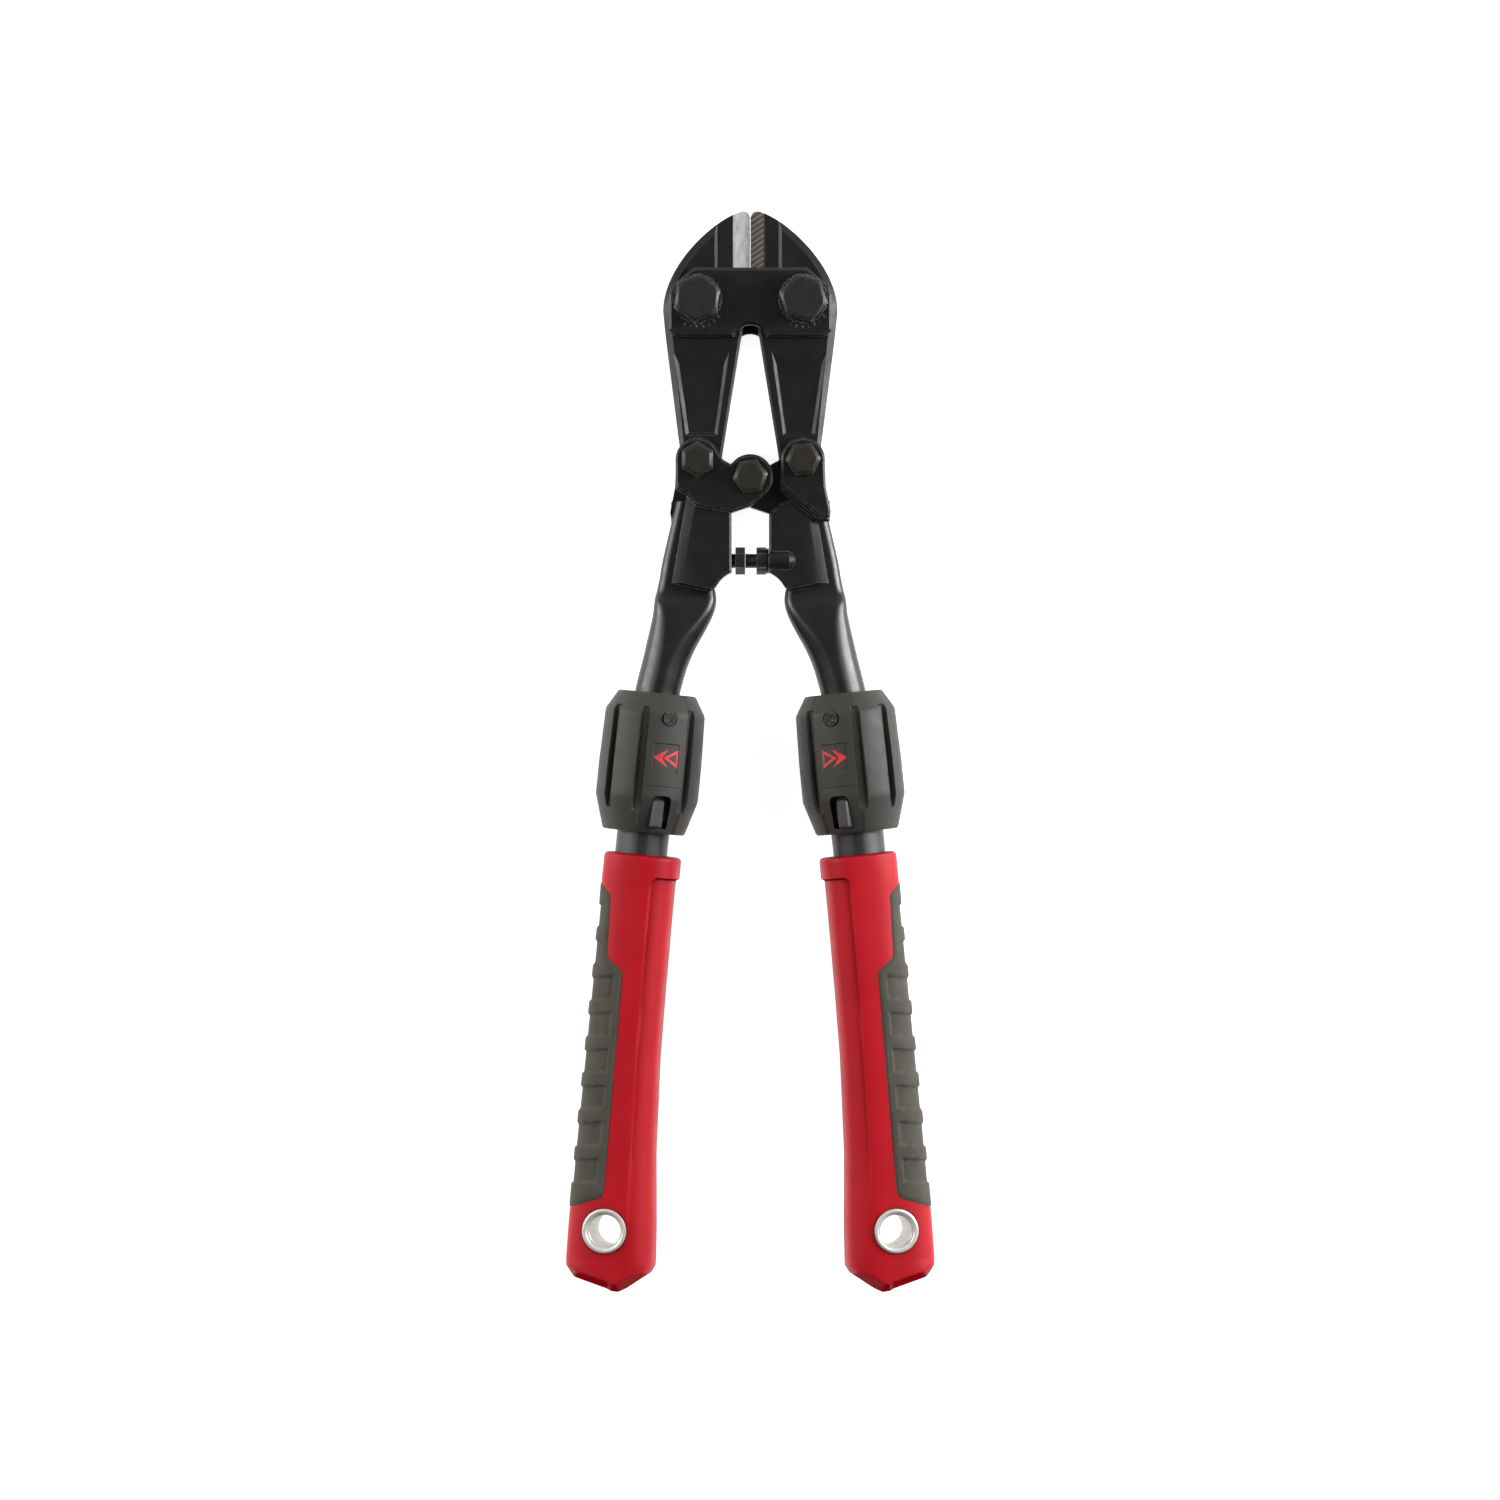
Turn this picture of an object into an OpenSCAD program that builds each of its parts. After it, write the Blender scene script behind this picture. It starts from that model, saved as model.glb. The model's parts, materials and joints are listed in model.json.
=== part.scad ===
// Telescoping compound-action bolt cutters, lying flat with the jaws towards +Y.
// X is across the tool, Z is up from the floor, and the tool is centred on X = 0, Y = 0.
// Each module is drawn about the tool's middle plane, and lift() stands it on the floor.

/* [Overall] */
// Length from the jaw tips to the butts with the handles pushed in
tool_length = 457.2; // [456:0.1:459]
// How far each handle pulls out
handle_travel = 152; // [120:1:152]
// Angle of each handle from the centreline
handle_tilt = 5.75; // [5.5:0.05:6]

/* [Head] */
// Distance between the two jaw pivots
jaw_span = 44.6; // [44.4:0.1:44.8]
// Distance from a jaw pivot down to its link pivot
jaw_tail = 67.8; // [67.5:0.1:68.1]
// Height of the jaw tips above the jaw pivots
jaw_reach = 37.9; // [37.8:0.1:38]
// Drop from the link pivots to the centre pivot
centre_drop = 7.2; // [7:0.1:7.4]
// Thickness of the jaws
jaw_t = 12; // [11:0.5:12]
// Thickness of the side straps and of the arms' ears
strap_t = 5; // [4.5:0.5:5]

/* [Bolts] */
// Diameter of the jaw bolts
jaw_bolt_d = 12; // [11:0.5:12]
// Width across flats of the jaw bolts
jaw_bolt_af = 18; // [17:0.5:18]
// Diameter of the link bolts and the centre bolt
link_bolt_d = 8; // [7:0.5:8]
// Width across flats of the link bolts and the centre bolt
link_bolt_af = 13; // [12:0.5:13]
// Diameter of the stop screws
stop_screw_d = 6; // [5:0.5:6]
// Width across flats of the stop screws
stop_screw_af = 10; // [9:0.5:10]

/* [Tubes] */
// Outer diameter of the inner tube
inner_tube_d = 19.05; // [19:0.05:19.1]
// Wall of the inner tube
inner_tube_wall = 1.6; // [1.4:0.1:1.6]
// Outer diameter of the outer tube
outer_tube_d = 22.2; // [22.1:0.05:22.3]
// Wall of the outer tube
outer_tube_wall = 1; // [0.9:0.1:1]

/* [Collars] */
// Largest diameter of a twist collar across its panels
collar_panel_d = 42.4; // [42:0.1:43]
// Length of a twist collar
collar_length = 59; // [59:0.5:60]
// Angle between a collar's panel and straight up, towards the centreline
panel_turn = 19; // [18:0.5:20]
// Twist that locks a collar
lock_twist = 8; // [6:0.5:8]

/* [Grips] */
// Distance along the handle from the collar's top to the grip's top
grip_start = 68.5; // [68:0.5:69]
// Distance along the handle from the collar's top to the lanyard ring
ring_place = 227.8; // [227.5:0.1:228.5]
// Bore of the lanyard rings
ring_bore_d = 13.4; // [13:0.1:13.6]
// Turn of each grip about its tube
grip_roll = 8; // [6:0.5:9]

/* [Hidden] */
$fn = 64;

black_steel = "#1e1e1e";
bolt_steel = "#32302b";
tube_black = "#262626";
tube_grey = "#3c3b39";
collar_grey = "#3e3d3a";
grip_red = "#c52430";
rubber_grey = "#4b4a44";
ring_metal = "#c9c9c6";
nylon = "#2a2a2c";

// Running clearance of the pivots and gap between faces that slide past each other
run_fit = 0.05;
face_gap = 0.15;

// Places of the pivots: y along the tool, x as half-distances
panel_r = collar_panel_d / 2;
mid_z = panel_r;
jaw_x = jaw_span / 2;
jaw_y = tool_length / 2 - jaw_reach;
link_y = jaw_y - jaw_tail;
centre_y = link_y - centre_drop;
jaw_half = jaw_t / 2;
ear_in = jaw_half + face_gap;
ear_out = ear_in + strap_t;

// The handle's axis starts at the collar's top
handle_x = 39.4;
handle_y = 24.5;

// Bolt heads, nuts and the lengths of their tails
jaw_head_h = 7.5;
jaw_nut_h = 8;
link_head_h = 5.3;
link_nut_h = 6.5;
lock_washer_t = 1;
head_gap = 0.1;
tail_end = mid_z - 0.1;

function polar(r, a) = [r * cos(a), r * sin(a)];
function arc(c, r, a0, a1, n) = [for (i = [0:n]) c + polar(r, a0 + (a1 - a0) * i / n)];
function bezier(p, t) =
    pow(1 - t, 3) * p[0] + 3 * t * pow(1 - t, 2) * p[1] + 3 * t * t * (1 - t) * p[2] + pow(t, 3) * p[3];
function curve(p, n) = [for (i = [0:n]) bezier(p, i / n)];

module lift() translate([0, 0, mid_z]) children();

// side is -1 for the left half of the tool and 1 for the right half
module on_side(side) mirror([side < 0 ? 0 : 1, 0, 0]) children();

// Handle frame: x to the tool's centreline, y to the front, z away from the head
module in_handle() {
    translate([-handle_x, handle_y, 0])
        rotate([0, 0, -handle_tilt])
            rotate([90, 0, 0])
                children();
}

module plate(z0, z1) translate([0, 0, z0]) linear_extrude(z1 - z0) children();

module ring(r_out, r_in, z0, z1) {
    difference() {
        translate([0, 0, z0]) cylinder(r = r_out, h = z1 - z0);
        translate([0, 0, z0 - 1]) cylinder(r = r_in, h = z1 - z0 + 2);
    }
}

module hexagon(af, h) cylinder(d = af / cos(30), h = h, $fn = 6);

// ---------- Head: straps, jaw bolts ----------

strap_half_w = 34.4;
strap_top = 13.3;
strap_bottom = -15.9;
notch_half_w = 7;
notch_top = -10.8;

module strap_outline() {
    difference() {
        polygon([
            [-24, strap_top], [-33.4, 5.2], [-strap_half_w, 2], [-strap_half_w, -13.2], [-31.4, strap_bottom],
            [31.4, strap_bottom], [strap_half_w, -13.2], [strap_half_w, 2], [33.4, 5.2], [24, strap_top]
        ]);
        translate([0, notch_top - notch_half_w]) circle(r = notch_half_w);
        translate([-notch_half_w, strap_bottom - 5]) square([2 * notch_half_w, notch_top - strap_bottom - 2]);
        for (side = [-1, 1]) translate([side * jaw_x, 0]) circle(d = jaw_bolt_d);
    }
}

module strap(z0) {
    color(black_steel)
        lift() translate([0, jaw_y, 0]) plate(z0, z0 + strap_t) strap_outline();
}
module front_strap() strap(ear_in);
module rear_strap() strap(-ear_out);

module bolt(af, d, head_z, head_h, tail_z, turn) {
    rotate([0, 0, turn]) translate([0, 0, head_z]) {
        intersection() {
            hexagon(af, head_h);
            // Chamfered corners of the head
            cylinder(r1 = af / 2 + head_h * 1.2, r2 = af / 2, h = head_h);
        }
    }
    translate([0, 0, -tail_z]) cylinder(d = d, h = tail_z + head_z + 1);
}

module nut(af, d, top_z, h, turn) {
    difference() {
        rotate([0, 0, turn]) translate([0, 0, top_z - h]) hexagon(af, h);
        translate([0, 0, top_z - h - 1]) cylinder(d = d, h = h + 2);
    }
}

// The left heads show flats to the sides and the right heads show corners
function head_turn(side) = side < 0 ? 30 : 0;

module at_jaw_bolts() {
    for (side = [-1, 1]) translate([side * jaw_x, jaw_y, 0]) rotate([0, 0, head_turn(side)]) children();
}

module jaw_bolts() {
    color(bolt_steel) lift() at_jaw_bolts()
        bolt(jaw_bolt_af, jaw_bolt_d, ear_out + lock_washer_t, jaw_head_h, tail_end, 0);
}

module jaw_nuts() {
    color(bolt_steel) lift() at_jaw_bolts() nut(jaw_bolt_af, jaw_bolt_d, -ear_out, jaw_nut_h, 0);
}

washer_teeth = 24;
module jaw_lock_washers() {
    color(bolt_steel) lift() at_jaw_bolts() difference() {
        translate([0, 0, ear_out]) cylinder(r = 10.5, h = lock_washer_t);
        translate([0, 0, ear_out - 1]) cylinder(d = jaw_bolt_d, h = lock_washer_t + 2);
        for (i = [0:washer_teeth - 1]) rotate([0, 0, i * 360 / washer_teeth])
            translate([10, -0.5, ear_out - 1]) cube([2, 1, 3]);
    }
}

// ---------- Jaws ----------

blade_gap = 0.1;
bevel_w = 7.2;
land_w = 14.5;

// Outline of the left jaw about the jaw pivot line, with x from the centreline
module jaw_outline() {
    polygon(concat(
        [[-blade_gap, 0.5], [-blade_gap, 35.4], [-1.2, 37.2]],
        curve([[-3.2, jaw_reach], [-17, 33.4], [-37, 13.5], [-36.9, -4.8]], 14),
        [[-36.2, -12], [-35.2, -20.6], [-29.7, 5.6 - jaw_tail], [-30.2, -jaw_tail],
         [-12.4, -jaw_tail], [-12, 1.6 - jaw_tail], [-4, -16.7], [-2.6, -10], [-0.8, -2]]
    ));
    translate([-jaw_x, -jaw_tail]) circle(r = 8.5);
}

// Half section across the blades: the ground bevel, the land behind it and the full thickness
module blade_section() {
    polygon([
        [0, -0.25], [-bevel_w, -3.4], [-bevel_w, -4.4], [-land_w, -4.9], [-land_w - 1, -jaw_half],
        [-40, -jaw_half], [-40, jaw_half], [-land_w - 1, jaw_half], [-land_w, 4.9], [-bevel_w, 4.4],
        [-bevel_w, 3.4], [0, 0.25]
    ]);
}

module jaw_panel(z) {
    translate([0, 0, z]) linear_extrude(3)
        polygon([[-32.3, -23.5], [-9.1, -23.5], [-13.9, -57], [-27.2, -57]]);
}

module jaw_blank() {
    intersection() {
        plate(-jaw_half, jaw_half) jaw_outline();
        union() {
            translate([0, 60, 0]) rotate([90, 0, 0]) linear_extrude(60) blade_section();
            translate([-50, -100, -jaw_half]) cube([60, 100.01, jaw_t]);
        }
    }
}

panel_depth = 1.2;
module left_jaw_body() {
    difference() {
        translate([0, jaw_y, 0]) jaw_blank();
        translate([0, jaw_y, 0]) jaw_panel(jaw_half - panel_depth);
        translate([0, jaw_y, 0]) jaw_panel(-jaw_half + panel_depth - 3);
        translate([-jaw_x, jaw_y, -20]) cylinder(r = jaw_bolt_d / 2 + run_fit, h = 40);
        translate([-jaw_x, link_y, -20]) cylinder(d = link_bolt_d, h = 40);
    }
}

module jaw(side) color(black_steel) lift() on_side(side) left_jaw_body();
module left_jaw() jaw(-1);
module right_jaw() jaw(1);

module at_link(side) translate([side * jaw_x, link_y, 0]) children();

module link_bolt(side) {
    color(bolt_steel) lift() at_link(side)
        bolt(link_bolt_af, link_bolt_d, ear_out + head_gap, link_head_h, 20.2, head_turn(side));
}
module left_link_bolt() link_bolt(-1);
module right_link_bolt() link_bolt(1);

module link_nut(side) {
    color(bolt_steel) lift() at_link(side)
        nut(link_bolt_af, link_bolt_d, -ear_out - head_gap, link_nut_h, head_turn(side));
}
module left_link_nut() link_nut(-1);
module right_link_nut() link_nut(1);

// ---------- Arms: one forging, turned over for the right side ----------

ear_r = 9.3;
boss_r = 9.6;
lap_gap = 0.1;
front_face = 9;
rear_face = 6.6;
socket_half = 4;

// The centre pivot of the other arm wanders in this arm while the tool opens
wander = [-1.31, -0.55];
wander_r = 1.42;

// Outlines about the centre pivot, as seen from the front on the left arm
module front_outline() {
    translate([-jaw_x, centre_drop]) circle(r = ear_r);
    circle(r = boss_r);
    polygon([
        [-22.3, 16.5], [-31.6, 7.2], [-31.5, -4.9], [-26.8, -7.7], [-23.2, -12.1], [-7.9, -15.1],
        [0, -12.4], [6.5, -7], [0, 0], [-7.5, 6], [-8.3, 5.4], [-11.6, 7.3], [-14.9, 12.8]
    ]);
}

module rear_outline() {
    translate([-jaw_x, centre_drop]) circle(r = ear_r);
    polygon([
        [-12.8, 7.2], [-12.8, -3.4], [-30, -17], [-33.6, -17], [-34, -14.6], [-31.9, -4], [-31.4, 6]
    ]);
}

module rear_step_outline() {
    polygon([[-12.8, -2], [-12.8, -5.8], [-28.2, -18.4], [-33.6, -18.4], [-33.6, -10]]);
}

module main_outline(top) {
    polygon(concat(
        [[-26.4, -6], [-33.2, -44.8], [-24.8, -47], [-16.8, -48.5]],
        arc([-3, -52.1], 12.9, 153, 112, 6),
        [[-7.9, -33], [-7.9, -15.3]],
        top
    ));
}

// Where the flattened end of the neck tube is gripped by the forging
module socket_outline() polygon([
    [-31.3, -10], [-22, -10], [-19.5, -34], [-16.4, -43], [-14.8, -49], [-39.6, -49], [-36.9, -34]
]);

jaw_slot_r = 11;
stop_y = -35.2;

module arm_blank() {
    plate(lap_gap, ear_out) front_outline();
    plate(lap_gap, front_face) main_outline([[-7.9, -13], [-20, -6]]);
    plate(-rear_face, lap_gap) main_outline([[-12.8, -11]]);
    plate(-ear_out, lap_gap) rear_outline();
    plate(-ear_out + 1.6, -rear_face) rear_step_outline();
    translate([-7.9, stop_y, 3.2 - rear_face]) rotate([0, -90, 0]) cylinder(r = 4.4, h = 10);
    translate([-17.9, stop_y, 3.2 - rear_face]) sphere(r = 4.4);
}

module arm_body(bolt_hole_r, bolt_hole_at, stop_depth) {
    translate([0, centre_y, 0]) difference() {
        arm_blank();
        // Slot for the jaw's tail
        translate([-jaw_x, centre_drop, -ear_in]) cylinder(r = jaw_slot_r, h = 2 * ear_in);
        // Room for the other arm's boss
        translate([wander.x, wander.y, -30])
            cylinder(r = boss_r + wander_r + 0.3, h = 30 + lap_gap);
        plate(-socket_half, socket_half) socket_outline();
        translate([-jaw_x, centre_drop, -20]) cylinder(r = link_bolt_d / 2 + run_fit, h = 40);
        translate([bolt_hole_at.x, bolt_hole_at.y, -20]) cylinder(r = bolt_hole_r, h = 40);
        translate([-7, stop_y, 0]) rotate([0, -90, 0]) cylinder(d = stop_screw_d, h = stop_depth);
    }
}

// The centre bolt is fast in the left arm and has room to wander in the right one
module left_arm() color(black_steel) lift() arm_body(link_bolt_d / 2, [0, 0], 11);
module right_arm() {
    color(black_steel) lift() rotate([0, 180, 0])
        arm_body(link_bolt_d / 2 + wander_r + 0.25, wander, 11);
}

module centre_bolt() {
    color(bolt_steel) lift() translate([0, centre_y, 0])
        bolt(link_bolt_af, link_bolt_d, ear_out + head_gap, link_head_h, 20.6, 14);
}

centre_washer_t = 1.5;
module centre_washer() {
    color(bolt_steel) lift() translate([0, centre_y, 0])
        ring(9, link_bolt_d / 2, -ear_out - head_gap - centre_washer_t, -ear_out - head_gap);
}

module centre_nut() {
    color(bolt_steel) lift() translate([0, centre_y, 0])
        nut(link_bolt_af, link_bolt_d, -ear_out - head_gap - centre_washer_t, link_nut_h, 14);
}

// Stop screws: the left one is a hex bolt, the right one a grub with a jam nut
module along_stop(x) translate([x, centre_y + stop_y, 0]) rotate([0, 90, 0]) children();

module left_stop_screw() {
    color(bolt_steel) lift() {
        along_stop(-6.3) rotate([0, 0, 30]) hexagon(stop_screw_af, 4.1);
        along_stop(-17.5) cylinder(d = stop_screw_d, h = 11.5);
    }
}

module right_stop_screw() {
    color(bolt_steel) lift() along_stop(-2.1) cylinder(d = stop_screw_d, h = 19.5);
}

module right_stop_nut() {
    color(bolt_steel) lift() along_stop(2.6) difference() {
        union() {
            rotate([0, 0, 30]) hexagon(stop_screw_af, 4.1);
            cylinder(r = 5.3, h = 5.2);
        }
        translate([0, 0, -1]) cylinder(d = stop_screw_d, h = 8);
    }
}

// ---------- Neck tubes ----------

inner_r = inner_tube_d / 2;
inner_bore_r = inner_r - inner_tube_wall;
tube_end = 214;
lock_place = 30;
pin_r = 2.4;

// Stations of the neck below the forging: centre x, y, half width, half thickness, squareness
neck_stations = [
    [-27.2, 67.3, 12.5, 4, 5], [-27.4, 64, 12.8, 5.2, 4], [-28.3, 60, 12.6, 6.6, 3],
    [-30.3, 54, 11.5, 7.8, 2.5], [-32.4, 48.5, 10.6, 8.5, 2.2], [-34.5, 42.5, 9.9, 9, 2],
    [-36.3, 36.5, 9.56, 9.3, 2], [-37.8, 31, 9.525, 9.5, 2], [-38.7, 27.4, 9.5, 9.5, 2],
    [-39.3, 24, 9.4, 9.4, 2]
];
neck_sides = 32;

function sgn_pow(v, e) = sign(v) * pow(abs(v), e);
function oval(a, b, n, i, count) = [
    a * sgn_pow(cos(360 * i / count), 2 / n),
    b * sgn_pow(sin(360 * i / count), 2 / n)
];
// The neck starts square to the forging and ends square to the straight tube
function heading(s, i) =
    i == 0 ? 0 : i == len(s) - 1 ? -handle_tilt : atan2(s[i + 1].x - s[i - 1].x, s[i - 1].y - s[i + 1].y);
function neck_ring(s, i) = [
    for (k = [0:neck_sides - 1])
        let (p = oval(s[i][2], s[i][3], s[i][4], k, neck_sides), h = heading(s, i))
        [s[i].x + p.x * cos(h), s[i].y + p.x * sin(h), p.y]
];

// Skin over rings of equal point counts, closed with a cap at each end
module skin(rings) {
    n = len(rings[0]);
    last = len(rings) - 1;
    points = [for (r = rings) each r];
    sides = [for (i = [0:last - 1], k = [0:n - 1])
        [i * n + k, (i + 1) * n + k, (i + 1) * n + (k + 1) % n, i * n + (k + 1) % n]];
    caps = [[for (k = [0:n - 1]) k], [for (k = [n - 1:-1:0]) last * n + k]];
    polyhedron(points, concat(sides, caps), convexity = 4);
}

module neck_tube_body() {
    translate([0, centre_y, 0]) plate(-socket_half, socket_half) socket_outline();
    skin([for (i = [0:len(neck_stations) - 1]) neck_ring(neck_stations, i)]);
    in_handle() difference() {
        translate([0, 0, -1.8]) cylinder(r = inner_r, h = tube_end + 1.8);
        cylinder(r = inner_bore_r, h = tube_end + 1);
        for (s = [lock_place, lock_place + handle_travel])
            translate([0, 0, s]) rotate([-90, 0, 0]) cylinder(r = pin_r + 0.2, h = 20);
    }
}

module neck_tube(side) color(tube_black) lift() on_side(side) neck_tube_body();
module left_neck_tube() neck_tube(-1);
module right_neck_tube() neck_tube(1);

// Nylon cap on the end of the inner tube that runs in the outer tube
outer_r = outer_tube_d / 2;
outer_bore_r = outer_r - outer_tube_wall;

module tube_guide(side) {
    color(nylon) lift() on_side(side) in_handle() difference() {
        translate([0, 0, tube_end - 14]) cylinder(r = outer_bore_r - run_fit, h = 15.5);
        translate([0, 0, tube_end - 15]) cylinder(r = inner_r, h = 15);
    }
}
module left_tube_guide() tube_guide(-1);
module right_tube_guide() tube_guide(1);

// ---------- Handles ----------

outer_tube_top = 10;
outer_tube_bottom = 217;

module outer_tube(side) {
    color(tube_grey) lift() on_side(side) in_handle() difference() {
        ring(outer_r, outer_bore_r, outer_tube_top, outer_tube_bottom);
        translate([0, 0, lock_place]) rotate([-90, 0, 0]) cylinder(r = pin_r + run_fit, h = 20);
    }
}
module left_outer_tube() outer_tube(-1);
module right_outer_tube() outer_tube(1);

module mouth_bush(side) {
    color(nylon) lift() on_side(side) in_handle()
        ring(12.4, inner_r + 0.07, outer_tube_top - 6, outer_tube_top);
}
module left_mouth_bush() mouth_bush(-1);
module right_mouth_bush() mouth_bush(1);

// A wedge of directions about the handle's axis, for cutting windows and tabs
module wedge(a0, a1, r) polygon(concat([[0, 0]], arc([0, 0], r, a0, a1, 4)));

housing_r = 15.1;
housing_top = 20;
housing_bottom = 54;
tab_outer_r = 19.6;
panel_angle = 90 - panel_turn;
tab_half_angle = 10.5;

module lock_housing(side) {
    color(nylon) lift() on_side(side) in_handle() {
        difference() {
            ring(housing_r, outer_r, housing_top, housing_bottom);
            // Pocket for the lock pin's head and spring
            translate([0, 0, lock_place]) rotate([-90, 0, 0]) {
                translate([0, 0, 11.5]) cylinder(r = 3.9, h = 10);
                cylinder(r = pin_r + run_fit, h = 20);
            }
        }
        intersection() {
            ring(tab_outer_r, housing_r - 0.5, 46.5, housing_bottom);
            plate(40, 60) wedge(panel_angle - tab_half_angle, panel_angle + tab_half_angle, 30);
        }
    }
}
module left_lock_housing() lock_housing(-1);
module right_lock_housing() lock_housing(1);

// Grip stations: place, outer half width, inner half width, half thickness
lip_end = grip_start + 8.5;
grip_stations = [
    [grip_start, 14.4, 16.2, 14.6], [grip_start + 1, 15.2, 17, 15.4], [lip_end, 15.2, 17, 15.4],
    [lip_end + 2, 15, 15.6, 14.5], [124, 15, 16.1, 14.5], [153, 15, 16.7, 14.5], [193, 15, 19, 14.5],
    [225, 14.8, 22.3, 14.5], [241, 14.3, 23.4, 14.3], [244.3, 13.8, 21.8, 13.9], [248.9, 9.2, 16, 12.6],
    [252.4, -5.3, 11.6, 10.8], [253.35, -7.2, 10.2, 10]
];
grip_sides = 40;
grip_squareness = 2.7;
rubber_proud = 0.5;
rubber_t = 2.9;

// grow makes the whole section bigger or smaller all round
function grip_ring(s, grow) = [
    for (k = [0:grip_sides - 1])
        let (
            half = (s[1] + s[2]) / 2 + grow,
            p = oval(half, s[3] + grow, grip_squareness, k, grip_sides)
        )
        [p.x + (s[2] - s[1]) / 2, p.y, s[0]]
];

module grip_form(grow) skin([for (s = grip_stations) grip_ring(s, grow)]);

// Side view of the rubber insert, a little bigger than the form on the outer side
module rubber_outline() polygon([
    [-20, 82], [-14.4, 82], [-9, 86.5], [-7.8, 113], [-0.4, 118.3], [1, 211.5], [-0.3, 214.2],
    [-15.2, 220.4], [-20, 220.4]
]);

module rubber_zone() {
    rotate([90, 0, 0]) translate([0, 0, -25]) linear_extrude(50) rubber_outline();
}

module in_grip() in_handle() rotate([0, 0, grip_roll]) children();

module grip(side) {
    color(grip_red) lift() on_side(side) in_grip() difference() {
        grip_form(0);
        difference() {
            rubber_zone();
            grip_form(rubber_proud - rubber_t);
        }
        translate([0, 0, 50]) cylinder(r = outer_r, h = outer_tube_bottom - 50);
        at_ring() translate([0, 0, -30]) cylinder(r = ring_tube_r, h = 60);
    }
}
module left_grip() grip(-1);
module right_grip() grip(1);

module grip_rubber(side) {
    color(rubber_grey) lift() on_side(side) in_grip() difference() {
        intersection() {
            rubber_zone();
            grip_form(rubber_proud);
        }
        grip_form(rubber_proud - rubber_t);
    }
}
module left_grip_rubber() grip_rubber(-1);
module right_grip_rubber() grip_rubber(1);

// The lanyard ring stands across the grip, a little towards the centreline
ring_offset = 2.7;
ring_tube_r = 8;
ring_flange_r = 9.4;
ring_half_length = 15.5;
ring_flange_t = 1;

module at_ring() translate([ring_offset, 0, ring_place]) rotate([90, 0, 0]) children();

module lanyard_ring(side) {
    color(ring_metal) lift() on_side(side) in_grip() at_ring() difference() {
        union() {
            translate([0, 0, -ring_half_length]) cylinder(r = ring_tube_r, h = 2 * ring_half_length);
            for (z = [-ring_half_length, ring_half_length - ring_flange_t])
                translate([0, 0, z]) cylinder(r = ring_flange_r, h = ring_flange_t);
        }
        translate([0, 0, -30]) cylinder(d = ring_bore_d, h = 60);
    }
}
module left_lanyard_ring() lanyard_ring(-1);
module right_lanyard_ring() lanyard_ring(1);

// ---------- Twist collars ----------

land_r = panel_r + 0.5;
cavity_r = 18.35;
groove_floor_r = 19.2;
groove_offsets = [29.5, 68.5, 111.5, 150.5];
groove_w = 3.9;
collar_screw_place = 10.3;
window_top = 43;

// Half section of a collar: radius, place along the handle
module collar_section(r) {
    polygon([
        [10.4, 0], [r - 5.2, 0], [r - 0.7, 8], [r, 30], [r, 44], [r - 4.3, collar_length],
        [11.8, collar_length], [11.8, 56.8], [15.7, 56.8], [15.7, 46], [cavity_r, 43.5],
        [cavity_r, 7.5], [13, 7.5], [13, 3], [10.4, 3]
    ]);
}

module collar_whole() {
    difference() {
        rotate_extrude() collar_section(land_r);
        // Panels are turned a little smaller than the lands
        for (half_turn = [0, 180])
            intersection() {
                plate(-1, collar_length + 1)
                    wedge(half_turn - groove_offsets[0], half_turn + groove_offsets[0], 40);
                difference() {
                    translate([0, 0, -1]) cylinder(r = 40, h = collar_length + 2);
                    rotate_extrude() polygon([
                        [0, -2], [panel_r - 5.2, -2], [panel_r - 5.2, 0], [panel_r - 0.7, 8], [panel_r, 30],
                        [panel_r, 44], [panel_r - 4.3, collar_length], [panel_r - 4.3, collar_length + 2],
                        [0, collar_length + 2]
                    ]);
                }
            }
        for (offset = groove_offsets, flip = [-1, 1])
            rotate([0, 0, offset * flip])
                translate([groove_floor_r, -groove_w / 2, 6]) cube([8, groove_w, 44]);
        for (half_turn = [0, 180])
            rotate([0, 0, half_turn]) translate([0, 0, collar_screw_place]) rotate([0, 90, 0]) {
                translate([0, 0, 19.4]) cylinder(r = 3.2, h = 10);
                cylinder(r = 1.4, h = 30);
            }
        // Window for the lock housing's tab
        plate(window_top, 56.8)
            wedge(-tab_half_angle - 0.5 - lock_twist, tab_half_angle + 0.3, 40);
    }
}

// Keeps the half of a collar whose side faces +x (1) or -x (-1), with a hairline at the joint
module half_space(way) {
    translate([way > 0 ? 0.05 : -40.05, -40, -1]) cube([40, 80, collar_length + 2]);
}

module in_collar() in_handle() rotate([0, 0, panel_angle]) children();

module collar_shell(side, way) {
    color(collar_grey) lift() on_side(side) in_collar() intersection() {
        collar_whole();
        half_space(way);
    }
}
module left_collar_front() collar_shell(-1, 1);
module left_collar_rear() collar_shell(-1, -1);
module right_collar_front() collar_shell(1, 1);
module right_collar_rear() collar_shell(1, -1);

module collar_screws(side) {
    color(bolt_steel) lift() on_side(side) in_collar()
        for (half_turn = [0, 180])
            rotate([0, 0, half_turn]) translate([0, 0, collar_screw_place]) rotate([0, 90, 0]) {
                translate([0, 0, 14.5]) cylinder(r = 1.25, h = 5);
                difference() {
                    translate([0, 0, 19.4]) cylinder(r = 2.8, h = 1.4);
                    for (turn = [0, 90]) rotate([0, 0, turn + 25])
                        translate([-1.7, -0.35, 20.1]) cube([3.4, 0.7, 2]);
                }
            }
}
module left_collar_screws() collar_screws(-1);
module right_collar_screws() collar_screws(1);

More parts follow.
